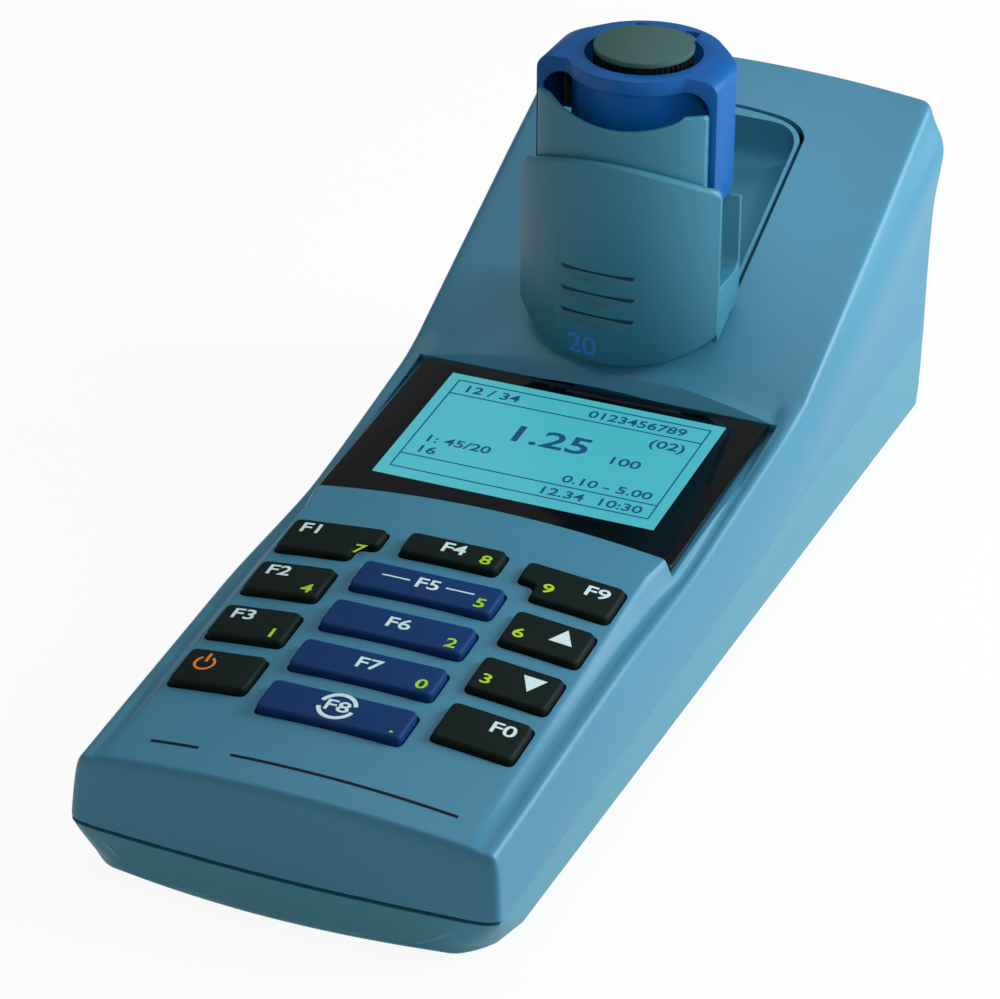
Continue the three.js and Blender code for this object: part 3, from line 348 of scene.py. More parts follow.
def lower_crease(at):
    shares = [(0, 0.02), (0.45, 0.05), (0.58, 0.13), (0.72, 0.3), (0.83, 0.44), (0.92, 0.56), (1, 0.74)]
    return along(at, [(a * CASE_LENGTH, h * REAR_HEIGHT) for a, h in shares], 12)


def corner_inset(from_end, radius):
    return radius - math.sqrt(radius ** 2 - max(0, radius - from_end) ** 2)


def half_section(at, inset, reach):
    """Right half of a cross-section, from the middle of the top down to the side of the hull."""
    wall_half = along(at, [(0, CASE_FRONT / 2), (CASE_LENGTH, CASE_REAR / 2)])
    bulge_half = along(at, [(0, CASE_FRONT / 2 + GAP), (SLOPE_AT, CASE_REAR / 2 + GAP), (CASE_LENGTH, SHOULDER / 2)])
    crest = rail_crest(at)
    crease = crest - along(at, [(0, 2), (105, 4), (SLOPE_AT, 1), (CASE_LENGTH, 2)], 8)
    lower = max(lower_crease(at), 2 * EDGE)
    crest_half = wall_half - EDGE / 2 - CHEEK - inset
    face = min(FACE_HALF - 1.2 + along(at, [(KEYPAD_END - 4, 0), (KEYPAD_END, 1.2)]), crest_half - 3 * GAP)
    flat = lambda x: top_height(at + reach, x)
    points = [(face * share, flat(face * share) - inset) for share in (0, 0.15, 0.3, 0.45, 0.6, 0.75, 0.88, 0.97, 1)]
    groove = along(at, [(EDGE, 0), (31, 0.1), (80, 0.4), (131, 0.6), (SLOPE_AT, 0)], 4)
    valley = along(at, [(0, top_height(0, FACE_HALF)), (27, rail_crest(at)), (CASE_LENGTH, crest)])
    blend = along(at, [(SLOPE_AT - 2, 0), (SLOPE_AT + 2, 1)], 2)
    mixed = lambda x, low: (1 - blend) * low + blend * flat(x)
    valley_x = (face + crest_half) / 2
    foot_x = (face + valley_x) / 2
    points.append((foot_x, mixed(foot_x, (valley + flat(foot_x)) / 2 - groove) - inset))
    points.append((valley_x, mixed(valley_x, min(valley, crest) - groove) - inset))
    points.append((crest_half, mixed(crest_half, crest) - inset))
    points.append((wall_half + GAP - CHEEK - inset, crease - inset / 2))
    points.append((bulge_half - CHEEK / 2 - inset, (crease * 2 + lower) / 3))
    points.append(((bulge_half + wall_half) / 2 - inset, (crease + lower * 3) / 4))
    points.append((wall_half - inset, lower * 0.9))
    return points, wall_half


def cut_corners(ring, times):
    """Rounds a closed ring of points by cutting every corner a quarter of the way in."""
    for _ in range(times):
        ring = [tuple(a[i] * (1 - t) + b[i] * t for i in (0, 1))
                for a, b in zip(ring, ring[1:] + ring[:1]) for t in (0.25, 0.75)]
    return ring


def section_ring(place, inset, bottom_at, turns):
    at = inset + place / CASE_LENGTH * (CASE_LENGTH - 2 * inset)
    from_end = min(place, CASE_LENGTH - place)
    trim = inset + corner_inset(from_end, EDGE)
    rear_fade = max(0, 1 - (CASE_LENGTH - place) / (REAR_HEIGHT / 3))
    points, wall_half = half_section(at, trim, rear_fade * REAR_LEAN)
    base = bottom_at(place) + corner_inset(from_end, EDGE)
    lowest = base + EDGE + GAP
    right = [(x, max(z, lowest + GAP * (len(points) - i))) for i, (x, z) in enumerate(points)]
    right += [(wall_half - trim, base + EDGE), (wall_half - trim - EDGE, base)]
    right += [(share * (wall_half - trim - 2 * EDGE), base) for share in (1, 0.8, 0.55, 0.3, 0)]
    ring = cut_corners(right + [(-x, z) for x, z in right[-2:0:-1]], turns)
    nose_fade = max(0, 1 - place / (FRONT_HEIGHT / 2)) ** 2
    return [bent(x, z, at, place, inset, wall_half, nose_fade, rear_fade) for x, z in ring]


def bent(x, z, at, place, inset, wall_half, nose_fade, rear_fade):
    """A point of a section, moved as the bowed nose, the rounded corners and the leaning rear wall ask."""
    hull = min(1, max(0, 1 - z / SEAM_FRONT))
    bulge = 1.63 * (1 + hull) * (1 - (2 * x / CASE_FRONT) ** 2)
    lean = 2.9 * (z / FRONT_HEIGHT - 1)
    turn = CORNER + (hull * (HULL_CORNER - CORNER) if place < CASE_LENGTH / 2 else 0)
    narrow = 1 - corner_inset(min(place, CASE_LENGTH - place), max(turn - inset, GAP)) / wall_half
    return (x * narrow, at + nose_fade * (1.93 - bulge + lean) + rear_fade * REAR_LEAN * z / REAR_HEIGHT, z)


def skin(inset, bottom_at, places, turns):
    """The casing's skin: a grid wrapped round the sections, closed by shrinking rings at both ends."""
    rings = [section_ring(place, inset, bottom_at, turns) for place in places]
    for end, place in ((0, places[0]), (-1, places[-1])):
        edge = rings[end]
        middle = sum(z for _, _, z in edge) / len(edge)
        straight = [(x, z) for x, _, z in edge]
        wall_half = along(place, [(0, CASE_FRONT / 2), (CASE_LENGTH, CASE_REAR / 2)])
        at = inset + place / CASE_LENGTH * (CASE_LENGTH - 2 * inset)
        caps = [[bent(x * share, middle + (z - middle) * share, at, CASE_LENGTH / 2, inset, wall_half,
                      1 if end == 0 else 0, 0 if end == 0 else 1) for x, z in straight]
                for share in (0.96, 0.8, 0.55, 0.3, 0.1)]
        rings = caps[::-1] + rings if end == 0 else rings + caps
    count = len(rings[0])
    deselect()
    bpy.ops.mesh.primitive_grid_add(x_subdivisions=count, y_subdivisions=len(rings) - 1, size=1)
    piece = bpy.context.object
    corners = [point for ring in rings for point in ring + ring[:1]]
    for vertex, corner in zip(piece.data.vertices, corners):
        vertex.co = corner
    bpy.ops.object.mode_set(mode="EDIT")
    bpy.ops.mesh.select_all(action="SELECT")
    bpy.ops.mesh.remove_doubles(threshold=0.002)
    bpy.ops.mesh.fill_holes(sides=0)
    bpy.ops.object.mode_set(mode="OBJECT")
    return set_in(piece, FLAT)


def keel(at):
    return along(at, [(0, KEEL_FRONT), (CASE_LENGTH, KEEL_REAR)])


def spaced(step):
    """Section places: close together where the corners turn, a step apart between."""
    near = [share * CORNER for share in (0, 0.04, 0.12, 0.25, 0.45, 0.7, 1, 1.5, 2.2, 3)]
    middle = range(12, int(CASE_LENGTH) - 5, step)
    brow = [143, 144.5, 145.5, 146.5, 148, 149, 150, 151, 152, 153.5] if step < 8 else [146, 150, 152]
    far = [CASE_LENGTH - at for at in near[::-1] if at < 5]
    return sorted(set(near + [at for at in middle if min(abs(at - b) for b in brow) > 1] + brow + far))


# ---- shells of the casing ----

def seam_height(at):
    return SEAM_FRONT + (SEAM_REAR - SEAM_FRONT) * at / CASE_LENGTH


def seam_side(front_gap, side_gap, outer):
    """Side profile over or under the parting line: open in front, nearly closed along the sides."""
    ahead, behind = -20, 240
    gaps = ((ahead, front_gap), (1.0, front_gap), (1.6, side_gap), (behind, side_gap))
    return [(at, seam_height(at) + gap) for at, gap in gaps] + [(behind, outer), (ahead, outer)]


def recess_outline(gap):
    """Plan of the recess on the slope, with turned rear corners and a slightly bowed rear edge."""
    side, rear, start = 19.4 - gap, RECESS_END - gap, 5 + gap
    points = [(-side, start), (side, start), (side, rear - 5)]
    points += curve(points[-1], (side - 1.25, rear - 0.8), (side - 7.5, rear), 8)
    points += curve(points[-1], (0, rear + 1.6), (7.5 - side, rear), 16)
    points += curve(points[-1], (1.25 - side, rear - 0.8), (-side, rear - 5), 8)
    return points


side_rows = [(67.5, 77.5), (53.2, 63.1), (38.6, 48.5), (23.6, 34.2)]
centre_rows = [(71.5, 78.2), (58.9, 67.2), (46, 54.4), (33.1, 41.5), (19.8, 28.5)]


def key_outlines():
    """Name, outline and finish of every key, on the keypad face."""
    found = []
    for i, (front, rear) in enumerate(side_rows):
        outline = rectangle(KEY_INNER, KEY_OUTER, front, rear)
        if i == 0:
            step = front + NOTCH_DEPTH
            outline = [(KEY_INNER, front), (KEY_OUTER, front), (KEY_OUTER, rear), (NOTCH_INNER, rear),
                       (NOTCH_INNER, step), (KEY_INNER, step)]
        found.append((f"key_right_{i + 1}", outline, "black_rubber"))
        found.append((f"key_left_{i + 1}", [(-x, y) for x, y in outline[::-1]], "black_rubber"))
    for i, (front, rear) in enumerate(centre_rows):
        half, finish = (WIDE_HALF, "navy_rubber") if i else (SMALL_HALF, "black_rubber")
        found.append((f"key_centre_{i + 1}", rectangle(-half, half, front, rear), finish))
    return found


def grown(outline, distance):
    """An outline with its edges moved outwards."""
    result = []
    for i, (x, y) in enumerate(outline):
        before = (Vector((x, y)) - Vector(outline[i - 1])).normalized()
        after = (Vector(outline[(i + 1) % len(outline)]) - Vector((x, y))).normalized()
        out = Vector((before.y + after.y, -before.x - after.x))
        scale = distance / (0.5 * out.length_squared)
        result.append((x + out.x * scale, y + out.y * scale))
    return result


outer_places, inner_places = spaced(4), spaced(14)
inside = skin(WALL, lambda at: 4.2, inner_places, 0)
inside.name = "inside"


def copy_of(piece):
    made = piece.copy()
    made.data = piece.data.copy()
    scene.collection.objects.link(made)
    return made


upper = skin(0, lambda at: 1.2 - keel(at), outer_places, 2)
lower = copy_of(upper)
whole = copy_of(upper)
join_by(upper, slab(seam_side(0.35, 0.02, 120), -BEYOND, BEYOND, SIDEWAYS), "INTERSECT")
join_by(upper, copy_of(inside))
display_seat = 1.8
cutters = [slab(recess_outline(0), -6.6, 14, SLOPE),
           disc(14, SHAFT_REACH, 80, FLAT, 0, TOWER_AT),
           block(-16.5, 16.5, 158.8, 170.4, SHAFT_REACH, 50),
           slab([(DISPLAY_FRONT - GAP, DISPLAY_LOW - display_seat), (DISPLAY_REAR + GAP, DISPLAY_HIGH - display_seat),
                 (DISPLAY_REAR + GAP, DISPLAY_HIGH), (148, DISPLAY_HIGH + 4.2), (148, 71), (DISPLAY_FRONT - GAP, 71)],
                -38.1, 38.1, SIDEWAYS),
           block(-31.1, 31.1, 99.2, 140.6, SHAFT_REACH, 71)]
for name, outline, _ in key_outlines():
    cutters.append(slab(rounded(grown(outline, 0.4), KEY_TURN), -7, 7, KEYPAD))
join_by(upper, cutters)
finish_piece(upper, "upper_shell", finishes["casing"], "casing", ["top_shell"], 30)

join_by(lower, slab(seam_side(-0.35, -0.02, -20)[::-1], -BEYOND, BEYOND, SIDEWAYS), "INTERSECT")

# A black strip just inside the skin is painted shade, so that the parting groove reads as a dark line in front.
seam_shade = copy_of(whole)
seam_shade.data.transform(Matrix.Diagonal((0.985, 0.991, 1, 1)))
strip = [(at, seam_height(at) + rise) for at, rise in ((-20, -1), (12, -1), (12, 1), (-20, 1))]
join_by(seam_shade, slab(strip, -BEYOND, BEYOND, SIDEWAYS), "INTERSECT")
join_by(seam_shade, copy_of(inside))
finish_piece(seam_shade, "seam_gasket", finishes["black_plastic"], "casing")

join_by(lower, inside)
openings = [disc(3.1, -5, 3.7, FLAT, side * x, at, 32) for side in (-1, 1) for x, at in POST_PLACES]
openings += [block(-30.3, 30.3, 58, 136.5, -5, 6),
             block(SOCKET_X - 8.8, SOCKET_X + 8.8, 204, 230, SOCKET_HEIGHT - 4.7, SOCKET_HEIGHT + 4.7),
             disc(5.3, 204, 230, FRONTAL, JACK_X, SOCKET_HEIGHT, 48)]
join_by(lower, openings)
# The lower shell's lighter tone is painted bounce light from the floor.
finish_piece(lower, "lower_shell", finishes["hull"], "casing", ["bottom_shell"], 30)


# ---- keys, their marks, the window and the screen ----

def crown(x):
    """Drop of the keypad face away from its middle."""
    return -2.66 * (x / FACE_HALF) ** 2


def key_top(outline):
    """Height of a key's top over the keypad: level on the middle keys, tilted on the side keys."""
    low, high = min(x for x, _ in outline), max(x for x, _ in outline)
    if low * high < 0:
        return lambda x: crown(high * 0.6) + KEY_STAND
    return lambda x: crown(low) + (crown(high) - crown(low)) * (x - low) / (high - low) + KEY_STAND


def laid(pieces, surface, place, lift=0.02):
    """Joins flat figures drawn in millimetres and lays them on a surface of a place."""
    pick(pieces[0])
    for piece in pieces[1:]:
        piece.select_set(True)
    if len(pieces) > 1:
        bpy.ops.object.join()
    piece = bpy.context.object
    for vertex in piece.data.vertices:
        vertex.co.z += surface(vertex.co.x) + lift
    return set_in(piece, place)


def figure(outline):
    return slab(outline, -0.1, 0.03, Matrix.Identity(4))


def stroke(x0, y0, x1, y1, width):
    """A straight printed line."""
    side = Vector((y0 - y1, x1 - x0)).normalized() * width / 2
    return figure([(x0 - side.x, y0 - side.y), (x1 - side.x, y1 - side.y), (x1 + side.x, y1 + side.y),
                   (x0 + side.x, y0 + side.y)])


def arc_band(x, y, outer, inner, start, end, steps=28):
    turns = [math.radians(start + (end - start) * i / steps) for i in range(steps + 1)]
    return figure([(x + outer * math.cos(t), y + outer * math.sin(t)) for t in turns]
                  + [(x + inner * math.cos(t), y + inner * math.sin(t)) for t in turns[::-1]])


def number(body, height, x, y, align="LEFT", stretch=1.25, bold=0.02):
    """Printed digits whose capitals stand height millimetres tall, with a corner at x, y."""
    deselect()
    bpy.ops.object.text_add()
    text = bpy.context.object
    text.data.body = body
    text.data.align_x = align
    text.data.size = height / 0.7
    text.data.extrude = 0.03
    text.data.resolution_u = 4
    text.data.offset = height * bold
    bpy.ops.object.convert(target="MESH")
    text = bpy.context.object
    text.data.transform(Matrix.Translation((x, y, 0)) @ Matrix.Diagonal((stretch, 1, 1, 1)))
    return text


def printed(name, colour, rough=0.5):
    return moulded(name, colour, rough, 0.3 * MM, 0.0, 0.02, 0.1)


white_print = printed("white_print", tone(205, 228, 232))
lime_print = printed("lime_print", tone(170, 212, 40))
orange_print = printed("orange_print", tone(226, 130, 48))
dark_print = printed("dark_print", tone(14, 22, 28))
blue_print = printed("blue_print", tone(72, 128, 200))

numerals = {"key_left_1": "7", "key_left_2": "4", "key_left_3": "1", "key_centre_1": "8", "key_centre_2": "5",
            "key_centre_3": "2", "key_centre_4": "0", "key_centre_5": ".", "key_right_1": "9", "key_right_2": "6",
            "key_right_3": "3"}
functions = {"key_left_1": "F1", "key_left_2": "F2", "key_left_3": "F3", "key_centre_1": "F4", "key_centre_2": "F5",
             "key_centre_3": "F6", "key_centre_4": "F7", "key_centre_5": "F8", "key_right_1": "F9",
             "key_right_4": "F0"}


def white_marks(name, low, high, front, rear):
    """White figures on a key: a function number, arrows or lines."""
    middle = (front + rear) / 2
    marks = []
    if name in functions:
        if name.startswith("key_left"):
            marks.append(number(functions[name], 2.9, low + 2.2, rear - 4.3))
        elif name.startswith("key_right"):
            marks.append(number(functions[name], 2.9, high - 1.8, rear - 5.0, "RIGHT"))
        else:
            marks.append(number(functions[name], 2.9, 0, middle - 0.9, "CENTER"))
    if name == "key_centre_2":
        marks += [stroke(side * 3.6, middle + 0.5, side * 9.2, middle + 0.5, 0.35) for side in (-1, 1)]
    if name == "key_centre_5":
        marks += [arc_band(0, middle + 0.4, 3.7, 2.9, start, start + 150) for start in (15, 195)]
    if name == "key_right_2":
        marks.append(figure([(26.4, middle - 0.9), (30.9, middle - 0.9), (28.6, middle + 3.2)]))
    if name == "key_right_3":
        marks.append(figure([(26.4, middle + 2.6), (28.6, middle - 1.5), (30.9, middle + 2.6)]))
    return marks


for name, outline, finish in key_outlines():
    low, high = min(x for x, _ in outline), max(x for x, _ in outline)
    front, rear = min(y for _, y in outline), max(y for _, y in outline)
    top = key_top(outline)
    key = slab(rounded(outline, KEY_TURN), -7, 0, Matrix.Identity(4))
    modify(key, "BEVEL", width=0.75, segments=4, limit_method="ANGLE", angle_limit=math.radians(60))
    for vertex in key.data.vertices:
        if vertex.co.z > -3:
            vertex.co.z += top(vertex.co.x)
    set_in(key, KEYPAD)
    finish_piece(key, name + "_cap", finishes[finish], name, [name], 45)
    marks = white_marks(name, low, high, front, rear)
    if marks:
        finish_piece(laid(marks, top, KEYPAD), name + "_mark", white_print, name)
    if name in numerals:
        if name.startswith("key_right"):
            digit = number(numerals[name], 2.6, low + (5.2 if name == "key_right_1" else 1.6), front + 2.2)
        else:
            digit = number(numerals[name], 2.6, high - 1.6, front + 1.3, "RIGHT")
        finish_piece(laid([digit], top, KEYPAD), name + "_numeral", lime_print, name)
    if name == "key_left_4":
        x, y = low + 4.6, rear - 4.4
        power = [arc_band(x, y, 2.1, 1.6, 122, 418), stroke(x, y + 0.4, x, y + 2.9, 0.55)]
        finish_piece(laid(power, top, KEYPAD), name + "_power", orange_print, name)

stripes = [stroke(-28.3, 7.7, -18.9, 7.7, 0.6), stroke(-12.5, 7.4, 30.6, 7.4, 0.6)]
for stripe in stripes:
    modify(stripe, "SUBSURF", subdivision_type="SIMPLE", levels=5, render_levels=5)
finish_piece(laid(stripes, crown, KEYPAD, 0.03), "face_stripes", dark_print, "casing")

display_run = (DISPLAY_REAR - DISPLAY_FRONT) / math.cos(DISPLAY_TILT)
screen_front, screen_rear, screen_half = 10.3, 48.9, 29.1
window = slab(rounded(rectangle(-36.5, 36.5, 0, display_run), 0.8), -1.5, 0, DISPLAY)
soften(window, 0.3, 3, 60)
join_by(window, slab(rectangle(-screen_half, screen_half, screen_front, screen_rear), -3, 3, DISPLAY))
finish_piece(window, "window_pane", finishes["window"], "casing", ["display_window"])
seat = 0.02
glass = slab(rectangle(seat - screen_half, screen_half - seat, screen_front + seat, screen_rear - seat),
             -1.4, -seat, DISPLAY)
finish_piece(glass, "screen_face", finishes["screen"], "casing")

frame_low, frame_high, frame_side = screen_front + 3.2, screen_rear - 2.2, screen_half - 2.4
header, footer = frame_high - 5.0, frame_low + 4.8
ink = [stroke(-frame_side, y, frame_side, y, 0.3) for y in (frame_low, frame_high, header, footer)]
ink += [stroke(side * frame_side, frame_low, side * frame_side, frame_high, 0.3) for side in (-1, 1)]
ink.append(number("12 / 34", 2.4, 2 - frame_side, header + 1.3))
ink.append(number("0123456789", 2.4, frame_side - 4, header + 1.3, "RIGHT", 1.2))
ink.append(number("1.25", 5.6, -1.5, footer + 11.5, "CENTER", 1.3))
ink.append(number("(02)", 2.6, frame_side - 2, header - 4.4, "RIGHT"))
ink.append(number("1: 45/20", 2.4, 2.2 - frame_side, footer + 5.4))
ink.append(number("16", 2.4, 2.2 - frame_side, footer + 1.4))
ink.append(number("100", 2.6, frame_side - 8, footer + 10.5, "RIGHT"))
ink.append(number("0.10 - 5.00", 2.4, frame_side - 2, footer + 1.4, "RIGHT"))
ink.append(number("12.34  10:30", 2.4, frame_side - 2, frame_low + 1.1, "RIGHT"))
finish_piece(laid(ink, lambda x: 0, DISPLAY, 0.0), "screen_ink", printed("screen_ink", tone(28, 84, 132)), "casing")


# ---- tower: cover, side frames, panel, adapter and plug ----

COVER_HALF, COVER_FRONT, COVER_CORNER, COVER_TOP, COVER_LOW, COVER_WALL = 21, 146, 154.5, 79.5, 36.4, 1.8
bulge = COVER_CORNER - COVER_FRONT
cover_radius = (COVER_HALF ** 2 + bulge ** 2) / (2 * bulge)
cover_centre = COVER_FRONT + cover_radius
cover_inner = cover_radius - COVER_WALL
frame_outer = COVER_HALF - 2 * GAP
cover_back = cover_centre - math.sqrt(cover_inner ** 2 - (frame_outer - GAP) ** 2)
frame_front, frame_rear = cover_back + 2 * GAP, 168.4
ADAPTER_HALF, ADAPTER_TOP, EAR_INNER, PLATE_LOW, ADAPTER_LOW = 18.8, 95.7, 17.3, 92.8, 69.2
TUBE_RADIUS, BORE_RADIUS, CELL_RADIUS, BORE_FLOOR, PLUG_RADIUS = 14, 11.65, 8.8, 80.2, 9.9
TRACK_FLOOR, TRACK_REAR, TRACK_INNER, SIDE_INNER, SIDE_TOP, POST_TOP = 52.4, 167.5, 17, 15.6, 72, 68
PANEL_HALF, PANEL_LOW, PANEL_TOP, PANEL_WALL = 17.6, 60, 89.5, 1.3


def bowed(outline, radius, thickness, back):
    """A curved upright sheet: a front outline kept from a tube that stands about the cover's centre."""
    sheet = slab(outline, 140, back, FRONTAL)
    join_by(sheet, disc(radius, 20, 110, FLAT, 0, cover_centre, 180), "INTERSECT")
    return join_by(sheet, disc(radius - thickness, 10, 120, FLAT, 0, cover_centre, 180))


def on_cover(x):
    return cover_centre - math.sqrt(cover_radius ** 2 - x ** 2)


face = [(-COVER_HALF, COVER_LOW + 7)]
face += curve(face[-1], (-COVER_HALF * 0.7, COVER_LOW), (0, COVER_LOW))
face += curve(face[-1], (COVER_HALF * 0.7, COVER_LOW), (COVER_HALF, COVER_LOW + 7))
face += [(COVER_HALF, COVER_TOP - 7.4)]
face += curve(face[-1], (COVER_HALF, COVER_TOP - 5.0), (COVER_HALF - 2.4, COVER_TOP - 4.4), 6)
face += curve(face[-1], (0, COVER_TOP + 5), (2.4 - COVER_HALF, COVER_TOP - 4.4), 24)
face += curve(face[-1], (-COVER_HALF, COVER_TOP - 5.0), (-COVER_HALF, COVER_TOP - 7.4), 6)
cover = bowed(face, cover_radius, COVER_WALL, cover_back)
soften(cover, 0.8, 4, 50)

# The grips are straight wedges. The bow of the cover gives them their lens shape.
turned = FLAT @ Matrix.Translation((0, cover_centre, 0)) @ Matrix.Rotation(math.radians(-3), 4, "Z")
turned = turned @ Matrix.Translation((0, -cover_centre, 0)) @ FLAT.inverted() @ SIDEWAYS
grip_tops = (56.6, 51.9, 47.2)
grips = []
for top in grip_tops:
    wedge = [(130, top), (COVER_FRONT + 1.45, top), (COVER_FRONT + 1.3, top - 0.8), (COVER_FRONT + 0.7, top - 2),
             (COVER_FRONT, top - 2.8), (130, top - 2.8)]
    grips.append(slab(wedge, -12, 12, turned))
join_by(cover, grips)
finish_piece(cover, "cover_face", finishes["tower_plastic"], "tower", ["cover_shell"], 24)
# The dark strips at the top of the grips are painted shade.
grip_shade_strips = [slab([(COVER_FRONT + 0.2, top - 0.05), (COVER_FRONT + 1.7, top - 0.05), (COVER_FRONT + 1.7, top - 1.0),
               (COVER_FRONT + 1.1, top - 1.0)], -12, 12, turned) for top in grip_tops]
join_by(grip_shade_strips[0], grip_shade_strips[1:], "UNION")
join_by(grip_shade_strips[0], disc(cover_radius - 0.3, 20, 110, FLAT, 0, cover_centre, 180), "INTERSECT")
grip_plastic = moulded("grip_plastic", tone(16, 52, 64), 0.5, shine=0.2)
finish_piece(grip_shade_strips[0], "cover_grip_lines", grip_plastic, "tower")
badge = number("20", 3.9, -7.6, 38.3, "LEFT", 1.2)
finish_piece(laid([badge], on_cover, FRONTAL, -0.02), "cover_number", blue_print, "tower")

for side, word in ((-1, "left"), (1, "right")):
    def across(outline, near, far):
        """A slab between two places along X on one side of the tower."""
        return slab(outline, min(side * near, side * far), max(side * near, side * far), SIDEWAYS)

    boss = [(FOLD_AT + 6.1 * math.sin(t * math.pi / 40), FOLD_HEIGHT - 6.1 * math.cos(t * math.pi / 40))
            for t in range(0, 15)]
    boss = [point for point in boss if point[0] < frame_rear]
    floor_line = top_height(frame_front, 0) + 2 * GAP
    side_shape = [(frame_front, floor_line), (FOLD_AT, top_height(FOLD_AT, 0) + 2 * GAP)] + boss
    side_shape += [(frame_rear, FOLD_HEIGHT - 2), (frame_rear, POST_TOP), (frame_rear - 2, POST_TOP),
                   (frame_rear - 2, SIDE_TOP), (frame_front, SIDE_TOP)]
    frame_side = across(side_shape, SIDE_INNER, frame_outer)
    track = [(frame_front - 2, TRACK_FLOOR), (TRACK_REAR - 2.9, TRACK_FLOOR)]
    track += curve(track[-1], (TRACK_REAR, TRACK_FLOOR), (TRACK_REAR, TRACK_FLOOR + 2.8), 6)
    track += [(TRACK_REAR, 80), (frame_front - 2, 80)]
    join_by(frame_side, across(track, TRACK_INNER, 22))
    soften(frame_side, 0.35, 3, 50)
    finish_piece(frame_side, f"tower_side_{word}", finishes["tower_plastic"], "tower",
                 [f"cover_frame_{word}"])

panel_radius = cover_inner - 1.5 * GAP
panel_face = [(-PANEL_HALF, PANEL_LOW), (PANEL_HALF, PANEL_LOW), (PANEL_HALF, PANEL_TOP - 0.5),
              (PANEL_HALF - 0.5, PANEL_TOP), (13.7, PANEL_TOP)]
panel_face += curve(panel_face[-1], (13.0, 88.6), (11.6, 88.0), 4)
panel_face += curve(panel_face[-1], (0, 83.6), (-11.6, 88.0), 20)
panel_face += curve(panel_face[-1], (-13.6, 89.0), (-14.4, PANEL_TOP), 4)
panel_face += [(0.5 - PANEL_HALF, PANEL_TOP), (-PANEL_HALF, PANEL_TOP - 0.5)]
panel = bowed(panel_face, panel_radius, PANEL_WALL, TOWER_AT)
soften(panel, 0.3, 3, 50)
join_by(panel, [block(side * 16.5 - 0.15, side * 16.5 + 0.15, 140, 152.7, 70, 87.5) for side in (-1, 1)])
finish_piece(panel, "slide_plate", finishes["tower_plastic"], "adapter", ["slide_panel"])


def ring_arc(radius, start, end, steps):
    return [(radius * math.cos(t), TOWER_AT + radius * math.sin(t))
            for t in (math.radians(start + (end - start) * i / steps) for i in range(steps + 1))]


front_arc = ring_arc(15.3, 180 + 37.8, 360 - 37.8, 36)
plate = [(ADAPTER_HALF, frame_front), (ADAPTER_HALF, frame_rear - GAP)] + ring_arc(16, 45, 135, 36)
plate += [(-ADAPTER_HALF, frame_rear - GAP), (-ADAPTER_HALF, frame_front), (-14, frame_front)]
plate += curve((-14, frame_front), (-12, frame_front), front_arc[0], 6)[:-1] + front_arc
plate += curve(front_arc[-1], (12, frame_front), (14, frame_front), 6)
adapter = slab(plate, PLATE_LOW, ADAPTER_TOP, FLAT)
added = [disc(TUBE_RADIUS, 78.7, PLATE_LOW + GAP, FLAT, 0, TOWER_AT, 96)]
wall_rear = TRACK_REAR - GAP
wall_shape = [(frame_front, ADAPTER_LOW), (wall_rear - 1.6, ADAPTER_LOW), (wall_rear, ADAPTER_LOW + 1.5),
              (wall_rear, ADAPTER_TOP - 1), (frame_front, ADAPTER_TOP - 1)]
for side in (-1, 1):
    edges = sorted((side * EAR_INNER, side * ADAPTER_HALF))
    added.append(slab(wall_shape, *edges, SIDEWAYS))
    fillet = [(17.6, 93.1), (13.3, 93.1)]
    fillet += [(13.3 + 4 * math.sin(t * math.pi / 20), 88.8 + 4 * math.cos(t * math.pi / 20)) for t in range(11)]
    fillet += [(17.6, 88.8)]
    added.append(slab([(side * x, z) for x, z in fillet], frame_front, TOWER_AT - 2, FRONTAL))
join_by(adapter, added, "UNION")
cuts = [disc(BORE_RADIUS, BORE_FLOOR, 110, FLAT, 0, TOWER_AT, 96), disc(CELL_RADIUS, 60, 90, FLAT, 0, TOWER_AT, 96)]
cuts += [block(side * 5.24 - 1.6, side * 5.24 + 1.6, TOWER_AT + 8.2, TOWER_AT + 13.25, PLATE_LOW, 100)
         for side in (-1, 1)]
join_by(adapter, cuts)
shoulders = [(ADAPTER_HALF, 60), (ADAPTER_HALF, ADAPTER_TOP - 3)]
shoulders += curve(shoulders[-1], (ADAPTER_HALF, ADAPTER_TOP), (ADAPTER_HALF - 4, ADAPTER_TOP), 8)
shoulders += [(4 - ADAPTER_HALF, ADAPTER_TOP)]
shoulders += curve(shoulders[-1], (-ADAPTER_HALF, ADAPTER_TOP), (-ADAPTER_HALF, ADAPTER_TOP - 3), 8)
shoulders += [(-ADAPTER_HALF, 60)]
join_by(adapter, slab(shoulders, 130, 200, FRONTAL), "INTERSECT")
soften(adapter, 0.3, 2, 60, 0.3, True)
finish_piece(adapter, "cell_adapter", finishes["adapter_plastic"], "adapter", ["adapter"])

# A black wall behind the ears closes the view past the tube; its black is painted shade in the gap.
gap_shade_wall = block(-18.1, 18.1, 168.5, 169.1, 80, PLATE_LOW)
join_by(gap_shade_wall, disc(13.9, 60, 110, FLAT, 0, TOWER_AT, 64))
finish_piece(gap_shade_wall, "adapter_lining", finishes["black_plastic"], "adapter")

